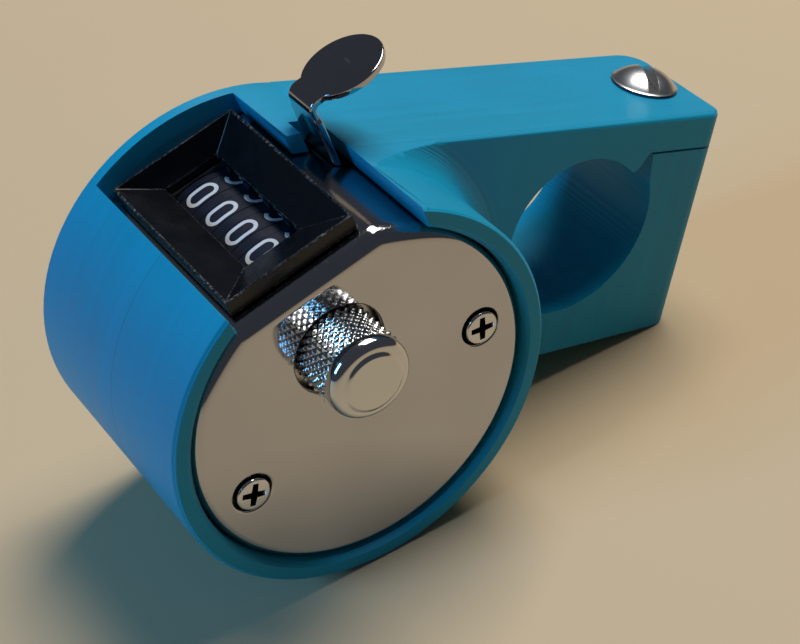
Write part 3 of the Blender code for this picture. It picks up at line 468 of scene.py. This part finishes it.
def mixed(tree, share, first, second):
    """Mixes two colours."""
    made = node(tree, "ShaderNodeMix", {"data_type": "RGBA"}, {0: share})
    for index, value in ((6, first), (7, second)):
        if isinstance(value, bpy.types.NodeSocket):
            tree.links.new(value, made.inputs[index])
        else:
            made.inputs[index].default_value = (*value, 1.0)
    return made.outputs[2]


def shaded(colour, factor):
    """Gives a colour made lighter or darker."""
    return tuple(channel * factor for channel in colour)


def surface(name, metallic, specular=0.5):
    """Starts a material and gives it with its node tree and shader."""
    material = bpy.data.materials.new(name)
    material.use_nodes = True
    shader = material.node_tree.nodes["Principled BSDF"]
    shader.inputs["Metallic"].default_value = metallic
    shader.inputs["Specular IOR Level"].default_value = specular
    return material, material.node_tree, shader


def join(tree, source, shader, socket):
    """Links a value to one of the shader's inputs."""
    tree.links.new(source, shader.inputs[socket])


def bump(tree, shader, height, depth, strength=1.0):
    """Gives the surface relief from a height value, with its depth in metres."""
    made = node(tree, "ShaderNodeBump", inputs={
        "Height": height, "Distance": depth, "Strength": strength})
    join(tree, made.outputs["Normal"], shader, "Normal")


def depth_in_model(tree):
    """Gives how far back from the ring's front a point lies, in metres."""
    point = node(tree, "ShaderNodeTexCoord").outputs["Object"]
    along = node(tree, "ShaderNodeSeparateXYZ", inputs={"Vector": point}).outputs["Y"]
    return maths(tree, "SUBTRACT", along, ring_centre.y)


def printed_plastic(name, layers, turn=0.0, line_depth=None):
    """Makes teal plastic laid down in layers that are stacked along one axis."""
    material, tree, shader = surface(name, metallic=0.0, specular=0.22)
    across = {"X": (4200, 50, 50), "Y": (50, 4200, 50)}[layers]
    broad = {"X": (700, 20, 20), "Y": (20, 700, 20)}[layers]
    fine = noise(tree, across, detail=1.0, turn=turn)
    bands = noise(tree, broad, detail=2.0, turn=turn)
    cloud = noise(tree, (70, 70, 70), detail=3.0)
    grain = noise(tree, (3200, 3200, 3200), detail=1.0)
    waves = node(tree, "ShaderNodeTexWave", {"wave_type": "BANDS", "bands_direction": layers}, {
        "Vector": place_in_object(tree, (1, 1, 1), turn), "Scale": layer_waves, "Distortion": 0.0})
    wave = waves.outputs["Fac"]
    tone = maths(tree, "ADD", maths(tree, "MULTIPLY", bands, 0.5), maths(tree, "MULTIPLY", cloud, 0.5))
    lightness = ranged(tree, tone, 0.3, 0.7, 0.0, 1.0)
    colour = mixed(tree, lightness, shaded(teal, 0.9), shaded(teal, 1.07))
    step_edge = maths(tree, "MULTIPLY", ranged(tree, wave, 0.7, 1.0, 0.0, 1.0, smooth=True), 0.3)
    colour = mixed(tree, step_edge, colour, shaded(teal, 0.55))
    relief = maths(tree, "ADD", maths(tree, "MULTIPLY", wave, 0.7), maths(tree, "MULTIPLY", fine, 0.7))
    relief = maths(tree, "ADD", relief, maths(tree, "MULTIPLY", grain, 0.12))
    if line_depth is not None:
        off = maths(tree, "ABSOLUTE", maths(tree, "SUBTRACT", depth_in_model(tree), line_depth * mm))
        groove = ranged(tree, off, 0.0, joint_line_width * mm / 2, 1.0, 0.0, smooth=True)
        colour = mixed(tree, maths(tree, "MULTIPLY", groove, 0.75), colour, shaded(teal, 0.35))
        relief = maths(tree, "SUBTRACT", relief, maths(tree, "MULTIPLY", groove, 1.5))
    join(tree, colour, shader, "Base Color")
    join(tree, ranged(tree, tone, 0.3, 0.7, 0.38, 0.5), shader, "Roughness")
    bump(tree, shader, relief, depth=0.00004, strength=0.8)
    return material


def plated(name, colour, rough, peel=0.0, peel_depth=None, recess_shade_depth=None):
    """Makes worn plated metal with haze, hair scratches, an orange peel and painted shade in its
    recesses.
    """
    material, tree, shader = surface(name, metallic=1.0)
    haze = noise(tree, (120, 120, 120), detail=4.0, roughness=0.6)
    tint = noise(tree, (60, 60, 60), detail=2.0)
    hair = noise(tree, (9000, 160, 900), detail=1.0, distortion=0.4, turn=0.6)
    hair_other = noise(tree, (500, 160, 9000), detail=1.0, distortion=0.4, turn=0.35)
    first = ranged(tree, hair, 0.74, 0.8, 0, 1)
    second = ranged(tree, hair_other, 0.74, 0.8, 0, 1)
    scratched = maths(tree, "ADD", first, second)
    worn = ranged(tree, haze, 0.38, 0.72, *rough)
    join(tree, maths(tree, "ADD", worn, maths(tree, "MULTIPLY", scratched, 0.12)), shader, "Roughness")
    lightness = ranged(tree, tint, 0.3, 0.7, 0, 1)
    shown = mixed(tree, lightness, shaded(colour, 0.95), shaded(colour, 1.04))
    # Painted shade: past a depth the colour darkens to near black, so the screws' cross recesses look
    # shaded
    if recess_shade_depth is not None:
        depth = depth_in_model(tree)
        recess_shade = ranged(tree, depth, recess_shade_depth * mm, (recess_shade_depth + 0.35) * mm, 0.0, 0.93, smooth=True)
        shown = mixed(tree, recess_shade, shown, recess_shade_black)
    join(tree, shown, shader, "Base Color")
    soft = noise(tree, (110, 110, 110), detail=1.0)
    height = maths(tree, "MULTIPLY", soft, 0.3)
    if peel:
        share = peel
        if peel_depth is not None:
            depth = depth_in_model(tree)
            share = ranged(tree, depth, (peel_depth + 0.1) * mm, (peel_depth + 0.9) * mm, 0.0, peel,
                           smooth=True)
        dents = noise(tree, (4600, 4600, 4600), detail=2.0)
        height = maths(tree, "ADD", height, maths(tree, "MULTIPLY", dents, share))
    bump(tree, shader, height, depth=0.0001, strength=0.35)
    return material


def moulded(name, colour, rough, grain, specular=0.5, light=1.35):
    """Makes moulded plastic with a fine grain and rubbed spots."""
    material, tree, shader = surface(name, metallic=0.0, specular=specular)
    rub = noise(tree, (240, 240, 240), detail=5.0, roughness=0.65)
    speck = noise(tree, (2600, 2600, 2600), detail=2.0)
    rubbed = ranged(tree, rub, 0.35, 0.75, 0, 1)
    join(tree, mixed(tree, rubbed, shaded(colour, 0.85), shaded(colour, light)), shader, "Base Color")
    join(tree, ranged(tree, rub, 0.35, 0.7, *rough), shader, "Roughness")
    bump(tree, shader, speck, depth=grain, strength=0.6)
    return material


def speckled_edge(name, colour, bare):
    """Makes an edge with pale grey specks in it."""
    material, tree, shader = surface(name, metallic=0.0, specular=0.5)
    specks = noise(tree, (2400, 2400, 2400), detail=3.0, roughness=0.7)
    stretches = noise(tree, (160, 160, 160), detail=1.0)
    speckled = ranged(tree, specks, 0.5, 0.62, 0, 1)
    share = maths(tree, "MULTIPLY", speckled, ranged(tree, stretches, 0.42, 0.6, 0.1, 1))
    # Pale grey specks are mixed into the edge colour, in patches of changing strength
    join(tree, mixed(tree, share, colour, bare), shader, "Base Color")
    join(tree, ranged(tree, specks, 0.4, 0.7, 0.25, 0.5), shader, "Roughness")
    bump(tree, shader, specks, depth=0.00002, strength=0.6)
    return material


holder_look = printed_plastic("printed_teal", "Y", line_depth=joint_line)
jaw_look = printed_plastic("printed_teal_jaw", "X", turn=-tilt)
case_look = plated("case_nickel", nickel, rough=(0.07, 0.13), peel=0.5, peel_depth=case_front)
lever_look = plated("lever_nickel", nickel, rough=(0.06, 0.14), peel=0.05)
knob_look = plated("knob_nickel", bright_steel, rough=(0.07, 0.13))
# The screws' cross recesses get painted shade from this depth on
screw_look = plated("screw_nickel", bright_steel, rough=(0.08, 0.16), recess_shade_depth=screw_front + 0.3)
clamp_look = plated("clamp_zinc", bright_steel, rough=(0.26, 0.36))
frame_look = plated("frame_steel", spring_steel, rough=(0.28, 0.42))
brass_look = plated("insert_brass", brass, rough=(0.22, 0.34))
window_look = moulded("window_black", window_black, rough=(0.2, 0.3), grain=0.000005, specular=0.36,
                      light=1.25)
window_edge_look = speckled_edge("window_edge", window_black, edge_speck_grey)
drum_look = moulded("drum_black", drum_black, rough=(0.3, 0.44), grain=0.000008)
numeral_look = moulded("numeral_white", numeral_white, rough=(0.4, 0.52), grain=0.000004, light=1.12)
pinion_look = moulded("natural_plastic", natural_plastic, rough=(0.4, 0.5), grain=0.000008)


def holder():
    """Dresses the printed ring with its arm, and the loose jaw."""
    identity = Matrix.Identity(4)
    ring = from_node("holder_body")
    round_edges(ring, counter_frame, notch_edges)
    round_edges(ring, holder_frame, nose_edges)
    piece("holder_print", ring, identity, "holder", holder_look,
          ("holder_body",), even=True)
    piece("jaw_print", from_node("clamp_jaw"), identity, "jaw", jaw_look,
          ("clamp_jaw",), even=True)


def case_outline(inward):
    """Gives the case's outline in X and Z, moved in: a circle cut flat, with round corners."""
    radius = case_radius - inward
    flat = case_flat - inward
    corner = case_corner - inward
    height = flat - corner
    across = math.sqrt((radius - corner) ** 2 - height ** 2)
    meeting = math.degrees(math.asin(height / (radius - corner)))
    points = fillet((0, 0), radius, 180 - meeting, 360 + meeting, case_circle_steps)
    points += fillet((across, height), corner, meeting, 90, case_corner_steps)[1:]
    points += fillet((-across, height), corner, 90, 180 - meeting, case_corner_steps)[:-1]
    return points


def case_loop(sink, fall, margin=0.0):
    """Gives one loop of the rolled edge, from shares of its rounding inward and back."""
    loop = []
    for inner, outer in zip(case_outline(1.0), case_outline(0.0)):
        share = max(0.0, min(1.0, (outer[1] - case_blend_start) / case_blend_length))
        edge = case_edge + (case_top_edge - case_edge) * share * share * (3 - 2 * share) - margin
        inward = margin + edge * sink
        x, z = (out + (into - out) * inward for into, out in zip(inner, outer))
        loop.append((x, case_front + margin + edge * fall, z))
    return loop


def case_end(inward):
    """Gives the case's outline at its open back."""
    return [(x, case_back, z) for x, z in case_outline(inward)]


def lipped_hole(radius, lip):
    """Makes a round cutter for a hole in the face with a drawn-in lip."""
    outer = case_front - cut_margin
    inner = case_front + cut_reach
    profile = [(0, outer), (radius + lip, outer)]
    profile += fillet((radius + lip, case_front + lip), lip, 270, 180, steps=8)
    profile += [(radius, inner), (0, inner)]
    return turned(profile, steps=96)


def opening(place, low):
    """Makes a cutter for an opening in the case's flat top, with rounded corners."""
    left, right, front, back = place
    left, right = left + opening_corner, right - opening_corner
    front, back = front + opening_corner, back - opening_corner
    corners = []
    for quarter, centre in enumerate(((right, back), (left, back), (left, front), (right, front))):
        corners += fillet(centre, opening_corner, 90 * quarter, 90 * quarter + 90, steps=5)
    return prism(corners, low, case_flat + cut_reach, "Z")


def case():
    """Makes the drawn case with its rolled edge, window opening, lever slot and lipped holes."""
    turns = [math.radians(90 * step / case_edge_steps) for step in range(case_edge_steps + 1)]
    loops = [case_loop(1 - math.cos(turn), 1 - math.sin(turn), case_wall) for turn in reversed(turns)]
    loops += [case_end(case_wall), case_end(0)]
    loops += [case_loop(1 - math.cos(turn), 1 - math.sin(turn)) for turn in turns]
    tools = [moved(lipped_hole(knob_hole, hole_lip), 0, 0, axis_height)]
    for side in (-1, 1):
        tools.append(moved(lipped_hole(dimple_radius, dimple_lip), side * screw_x, 0, screw_z))
    tools.append(opening(window_hole, window_hole_low))
    tools.append(opening(lever_hole, lever_hole_low))
    shell = cut(lofted(loops), *tools)
    piece("case_drawn", shell, counter_frame, "holder", case_look,
          ("case_cup",), even=True)


def window():
    """Dresses the window block with pale speckled edges, and hangs the masks between the wheels from it.
    """
    block = from_node("window_bezel")
    soften(block, window_edge_width * mm, steps=3, angle=window_edge_angle, worn=1)
    frame_piece = piece("window_moulding", block, Matrix.Identity(4), "holder",
                        (window_look, window_edge_look), ("window_bezel",),
                        sharp=60.0, even=True)
    arch = [(x, z + axis_height) for x, z in fillet((0, 0), mask_outer, *mask_outer_arc, steps=24)]
    arch += [(-mask_half_width + mask_shoulder, mask_top), (-mask_half_width, mask_top)]
    arch += [(x, z + axis_height) for x, z in fillet((0, 0), mask_inner, *mask_inner_arc, steps=30)]
    arch += [(mask_half_width, mask_top), (mask_half_width - mask_shoulder, mask_top)]
    for number, (front, back) in enumerate(mask_spans):
        mask = piece(f"wheel_mask_{number}", prism(arch, front, back, "Y"), counter_frame, "holder",
                     drum_look)
        mask.parent = frame_piece


def knurl(turn, along):
    """Gives the height share of crossed diamond ridges."""
    first = (turn * knurl_count + along / knurl_length) % 1.0
    second = (turn * knurl_count - along / knurl_length) % 1.0
    return min(1 - abs(2 * first - 1), 1 - abs(2 * second - 1)) * knurl_flat


def reset_knob():
    """Makes the knurled knob with its smooth band, rounded shoulder and faint end disc."""
    around = knurl_count * knurl_points
    loops = []
    for step in range(knurl_loops + 1):
        depth = knob_back + (knurl_end - knob_back) * step / knurl_loops
        fade = max(0.0, min(1.0, (depth - knurl_end) / knurl_fade, (knob_back - depth) / knurl_fade))
        loop = []
        for index in range(around):
            turn = index / around
            reach = knob_radius - knurl_depth * (1 - min(1.0, knurl(turn, depth)) * fade)
            loop.append((reach * math.cos(math.tau * turn), depth, reach * math.sin(math.tau * turn)))
        loops.append(loop)
    smooth = [(band_radius - band_sink, knurl_end - band_lead), (band_radius, knurl_end - band_end)]
    smooth += fillet((band_radius - shoulder_round, shoulder_start), shoulder_round, 0, -84, steps=18)
    rim = smooth[-1][0]
    for step in range(1, disc_steps + 1):
        share = step / disc_steps
        smooth.append((rim - (rim - disc_radius + disc_blend) * share,
                       knob_front + disc_height * (1 + math.cos(math.pi * share)) / 2))
    loops += [circle(radius, depth, around) for radius, depth in smooth]
    solid = moved(lofted(loops), 0, 0, axis_height)
    piece("knob_knurled", solid, counter_frame, "reset", knob_look,
          ("reset_knob",), sharp=50.0)


def cross():
    """Makes the cutters for a cross recess with tapered arms."""
    low = screw_front + cross_depth
    tools = []
    for turn in (0, 90):
        outline = [(-cross_reach, -cross_tip_half_width), (0, -cross_half_width),
                   (cross_reach, -cross_tip_half_width)]
        outline += [(-x, -z) for x, z in outline]
        arm = prism(outline, screw_front - cross_rise, low, "Y")
        for vert in arm.verts:
            if vert.co.y > screw_front:
                vert.co.x *= cross_floor_length
                vert.co.z *= cross_floor_width
        tools.append(spun(arm, turn, "Y"))
    return tools


def cover_screws():
    """Makes the two cross-head screws in the face."""
    for name, side, turn in face_screws:
        profile = [(0, screw_back), (screw_radius, screw_back)]
        rim = (screw_radius - screw_edge, screw_front + screw_edge)
        profile += fillet(rim, screw_edge, 0, -82, steps=6)
        profile += [(0, screw_front - screw_dome)]
        head = cut(turned(profile, steps=72), *cross())
        soften(head, recess_edge, steps=2, angle=40)
        spun(head, turn, "Y")
        moved(head, side * screw_x, 0, screw_z)
        piece(f"face_screw_{name}", head, counter_frame, "holder", screw_look,
              (f"cover_screw_{name}",), sharp=50.0, even=True)


def clamp_screw():
    """Makes the domed screw on the arm, with a wide slot."""
    sphere = (clamp_radius ** 2 + clamp_height ** 2) / (2 * clamp_height)
    reach = math.degrees(math.asin(clamp_radius / sphere))
    profile = [(0, 0), (clamp_radius - clamp_foot_sink, 0), (clamp_radius, clamp_foot_rise)]
    dome = fillet((0, clamp_height - sphere), sphere, 90 - reach + clamp_dome_gap, 90, steps=22)[:-1]
    profile += dome + [(0, clamp_height)]
    head = spun(turned(profile, steps=96), 90, "X")
    long = clamp_radius * clamp_slot_share
    half = clamp_slot_width / 2
    slot = prism([(-long, -half), (long, -half), (long, half), (-long, half)],
                 clamp_height - clamp_slot_depth, clamp_height + cut_margin, "Z")
    head = cut(head, slot)
    soften(head, clamp_slot_edge, steps=3, angle=40)
    spun(head, clamp_heading, "Z")
    moved(head, clamp_x, clamp_y, clamp_floor)
    piece("clamp_screw_head", head, holder_frame, "clamp_bolt", clamp_look,
          ("clamp_screw",), sharp=50.0, even=True)


def blank_outline():
    """Gives half widths of the flat lever blank along its length."""
    tab_start = strip_straight + strip_bend
    foot = strip_centre_x + bend_radius - bend_radius * math.cos(math.radians(bend_angle))
    centre = tab_start + (tab_centre_x - foot)
    narrow = strip_waist - strip_base
    join_angle = math.asin(strip_waist_half / tab_half_width)
    edge = [(0, strip_half_width), (narrow - strip_taper, strip_half_width - strip_taper_drop)]
    edge.append((narrow, strip_waist_half))
    edge.append((centre - tab_half_length * math.cos(join_angle), strip_waist_half))
    for step in range(1, tab_steps + 1):
        angle = math.pi - join_angle - (math.pi - join_angle) * step / tab_steps
        edge.append((centre + tab_half_length * math.cos(angle), tab_half_width * math.sin(angle)))
    return edge


def inset(points, distance):
    """Moves a closed outline inward by a distance, along the mean normal at each corner."""
    moved_in = []
    count = len(points)
    for index, point in enumerate(points):
        before = Vector(points[index - 1])
        here = Vector(point)
        after = Vector(points[(index + 1) % count])
        first = (here - before).normalized()
        second = (after - here).normalized()
        normal = Vector((-first.y - second.y, first.x + second.x)).normalized()
        spread = max(normal.dot(Vector((-first.y, first.x))), least_spread)
        moved_in.append(here + normal * distance / spread)
    return moved_in


def rounded_plate(outline, thickness, edge):
    """Makes a flat plate in X and Y with rounded rims on both faces."""
    solid = bmesh.new()
    rings = []
    for step in range(strip_round_steps + 1):
        angle = math.radians(90 * step / strip_round_steps)
        rings.append((edge - edge * math.sin(angle), -thickness / 2 + edge - edge * math.cos(angle)))
    rings += [(inward, -height) for inward, height in reversed(rings)]
    loops = []
    for inward, height in rings:
        loops.append([solid.verts.new((p[0], p[1], height)) for p in inset(outline, inward)])
    for near, far in zip(loops, loops[1:]):
        for index in range(len(outline)):
            after = (index + 1) % len(outline)
            solid.faces.new((near[index], near[after], far[after], far[index]))
    solid.faces.new(loops[0])
    solid.faces.new(loops[-1])
    bmesh.ops.recalc_face_normals(solid, faces=solid.faces)
    return solid


def bent_place(along, across, off):
    """Gives where a point of the flat blank lies once the blank is bent."""
    if along <= strip_straight:
        return Vector((strip_centre_x - off, across, strip_base + along))
    centre = Vector((strip_centre_x + bend_radius, across, bend_height))
    turn = min((along - strip_straight) / bend_radius, math.radians(bend_angle))
    radius = bend_radius + off
    place = centre + Vector((-radius * math.cos(turn), 0, radius * math.sin(turn)))
    rest = max(along - strip_straight - strip_bend, 0.0)
    return place + Vector((math.sin(turn), 0, math.cos(turn))) * rest


def thumb_lever():
    """Makes the bent strip with its oval tab, and keeps the hidden arm of the lever."""
    edge = blank_outline()
    outline = list(edge) + [(along, -half) for along, half in reversed(edge) if half > tip_limit]
    outline = list(reversed(outline))
    blank = rounded_plate(outline, strip_thickness, strip_round)
    for step in range(bend_steps + 1):
        along = strip_straight + strip_bend * step / bend_steps
        geometry = blank.verts[:] + blank.edges[:] + blank.faces[:]
        bmesh.ops.bisect_plane(blank, geom=geometry, plane_co=(along, 0, 0), plane_no=(1, 0, 0))
    for vert in blank.verts:
        vert.co = bent_place(vert.co.x, vert.co.y, vert.co.z)
    moved(blank, 0, strip_middle, 0)
    piece("lever_tab", blank, counter_frame, "lever", lever_look, ("thumb_lever",),
          sharp=50.0, even=True)
    inner = from_node("thumb_lever")
    inner.transform(counter_frame.inverted())
    geometry = inner.verts[:] + inner.edges[:] + inner.faces[:]
    limit = strip_base + arm_overlap
    bmesh.ops.bisect_plane(inner, geom=geometry, plane_co=(0, 0, limit), plane_no=(0, 0, 1),
                           clear_outer=True)
    rim = [e for e in inner.edges if len(e.link_faces) == 1]
    bmesh.ops.holes_fill(inner, edges=rim)
    piece("lever_arm", inner, counter_frame, "lever", lever_look, ("thumb_lever",))


def oval(across, upward, wide, high, start, end, steps=16):
    """Gives points of an oval arc in numeral space, where half the height and half the width are 1."""
    angles = [math.radians(start + (end - start) * step / steps) for step in range(steps + 1)]
    return [(across + wide * math.cos(a), upward + high * math.sin(a)) for a in angles]


def numeral_strokes(digit):
    """Gives a numeral's strokes as centre lines, each with whether it is closed."""
    squat = numeral_half_width / numeral_half_height
    bowl = 1 - squat
    six_back = oval(0, bowl, 1, squat, 38, 180) + [(-1, -bowl)]
    return {
        0: [(oval(0, bowl, 1, squat, 0, 180) + oval(0, -bowl, 1, squat, 180, 360), True)],
        1: [([(-0.55, 0.66), (0.1, 1), (0.1, -1)], False)],
        2: [(oval(0, bowl, 1, squat, 170, -38) + [(-1, -1), (1, -1)], False)],
        3: [(oval(0, 0.53, 0.9, 0.47, 155, -90) + oval(0, -0.47, 1, 0.53, 90, -155)[1:], False)],
        4: [([(0.4, -1), (0.4, 1), (-1, -0.4), (1, -0.4)], False)],
        5: [([(0.85, 1), (-0.72, 1), (-0.85, 0.12)] + oval(0, -0.38, 1, 0.62, 128, -150), False)],
        6: [(oval(0, -bowl, 1, squat, 0, 360)[:-1], True), (six_back, False)],
        7: [([(-1, 1), (1, 1), (-0.25, -1)], False)],
        8: [(oval(0, 0.55, 0.86, 0.45, 0, 360)[:-1], True),
            (oval(0, -0.45, 1, 0.55, 0, 360)[:-1], True)],
        9: [(oval(0, bowl, 1, squat, 0, 360)[:-1], True), ([(-x, -y) for x, y in six_back], False)],
    }[digit]


def finely(points, closed):
    """Gives the points of a line with none further apart than a step, so it bends round a drum."""
    ends = points[1:] + ([points[0]] if closed else [])
    result = []
    for first, second in zip(points, ends):
        count = max(1, math.ceil((Vector(second) - Vector(first)).length / stroke_step))
        result += [Vector(first).lerp(Vector(second), step / count) for step in range(count)]
    return result if closed else result + [Vector(points[-1])]


def wrapped_stroke(solid, points, closed, start, middle):
    """Adds one stroke of a numeral to a mesh, as a closed ribbon wrapped on the drum."""
    count = len(points)
    top = drum_radius + numeral_lift
    root = drum_radius - numeral_root
    sections = []
    for index, point in enumerate(points):
        before = points[index - 1] if closed or index else point
        after = points[(index + 1) % count] if closed or index < count - 1 else point
        along = (after - before).normalized()
        side = Vector((-along.y, along.x)) * stroke_width / 2
        section = []
        corners = ((point + side, top), (point - side, top), (point - side, root), (point + side, root))
        for place, radius in corners:
            angle = start - place.y / drum_radius
            spot = (radius * math.cos(angle), middle - place.x, axis_height + radius * math.sin(angle))
            section.append(solid.verts.new(spot))
        sections.append(section)
    pairs = list(zip(sections, sections[1:])) + ([(sections[-1], sections[0])] if closed else [])
    for near, far in pairs:
        for corner in range(4):
            after = (corner + 1) % 4
            solid.faces.new((near[corner], near[after], far[after], far[corner]))
    if not closed:
        solid.faces.new(sections[0])
        solid.faces.new(sections[-1])


def number_wheels():
    """Dresses the drums and prints ten numerals on each."""
    for wheel, middle in wheel_places.items():
        drum = piece(f"{wheel}_drum", from_node(f"{wheel}_wheel"), Matrix.Identity(4), wheel,
                     drum_look, (f"{wheel}_wheel",), even=True)
        ring = bmesh.new()
        for digit in range(10):
            start = math.radians(numeral_angle + numeral_step * digit)
            for line, closed in numeral_strokes(digit):
                sized = [(x * numeral_half_width, y * numeral_half_height) for x, y in line]
                wrapped_stroke(ring, finely(sized, closed), closed, start, middle)
        bmesh.ops.recalc_face_normals(ring, faces=ring.faces)
        numerals = piece(f"{wheel}_numerals", ring, counter_frame, wheel, numeral_look)
        numerals.parent = drum


def inner_parts():
    """Gives the CAD nodes that stay as they are their finishes."""
    looks = {
        "back_cover": case_look, "front_frame_plate": frame_look, "rear_frame_plate": frame_look,
        "frame_post_left": frame_look, "frame_post_right": frame_look, "frame_post_foot": frame_look,
        "pinion_shaft": frame_look, "lever_pivot_pin": frame_look, "holding_spring": frame_look,
        "clamp_insert": brass_look, "reset_shaft": frame_look, "shaft_collar": frame_look,
        "pawl_pin": frame_look, "drive_pawl": frame_look,
        "ratchet_wheel": pinion_look, "tens_pinion": pinion_look, "hundreds_pinion": pinion_look,
        "thousands_pinion": pinion_look,
    }
    for name, look in looks.items():
        shown = frame["nodes"][name]
        for slot in shown.material_slots:
            slot.link = "OBJECT"
            slot.material = look


def return_coil():
    """Dresses the lever's return spring, which the lever presses together."""
    coil = piece("return_coil", from_node("return_spring", dissolve=0), Matrix.Identity(4), "holder",
                 frame_look, ("return_spring",))
    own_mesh(coil)


def area_light(name, place, size, power, colour):
    """Adds a soft rectangular lamp that faces the object."""
    lamp = bpy.data.lights.new(name, "AREA")
    lamp.shape = "RECTANGLE"
    lamp.size, lamp.size_y = size
    lamp.energy = power
    lamp.color = colour
    fixture = bpy.data.objects.new(name, lamp)
    fixture.location = place
    fixture.rotation_euler = (-Vector(place)).to_track_quat("-Z", "Y").to_euler()
    bpy.context.scene.collection.objects.link(fixture)


def stage():
    """Sets out the pale floor, the soft lamps and the surroundings."""
    floor = bpy.data.meshes.new("floor")
    half = floor_half_side
    corners = [(-half, -half, 0), (half, -half, 0), (half, half, 0), (-half, half, 0)]
    floor.from_pydata(corners, [], [(0, 1, 2, 3)])
    look, tree, shader = surface("floor_paint", metallic=0.0, specular=0.3)
    cloud = noise(tree, (9, 9, 9), detail=3.0)
    tone = mixed(tree, cloud, shaded(floor_colour, 0.97), shaded(floor_colour, 1.03))
    join(tree, tone, shader, "Base Color")
    shader.inputs["Roughness"].default_value = floor_roughness
    floor.materials.append(look)
    ground = bpy.data.objects.new("floor", floor)
    bpy.context.scene.collection.objects.link(ground)
    area_light("overhead_lamp", *overhead_lamp)
    area_light("window_lamp", *window_lamp)
    world = bpy.data.worlds.new("surroundings")
    bpy.context.scene.world = world
    world.use_nodes = True
    background = world.node_tree.nodes["Background"]
    background.inputs["Color"].default_value = (*surroundings, 1.0)
    background.inputs["Strength"].default_value = 1.0


def camera():
    """Places the camera where the photograph was taken from."""
    lens = bpy.data.cameras.new("camera")
    lens.lens = camera_lens
    lens.sensor_width = sensor_width
    lens.clip_start = camera_near
    viewer = bpy.data.objects.new("camera", lens)
    viewer.location = camera_place
    viewer.rotation_euler = [math.radians(angle) for angle in camera_turn]
    bpy.context.scene.collection.objects.link(viewer)
    bpy.context.scene.camera = viewer


bpy.context.scene.view_settings.view_transform = "Standard"
holder()
case()
window()
reset_knob()
cover_screws()
clamp_screw()
thumb_lever()
number_wheels()
inner_parts()
return_coil()
stage()
camera()
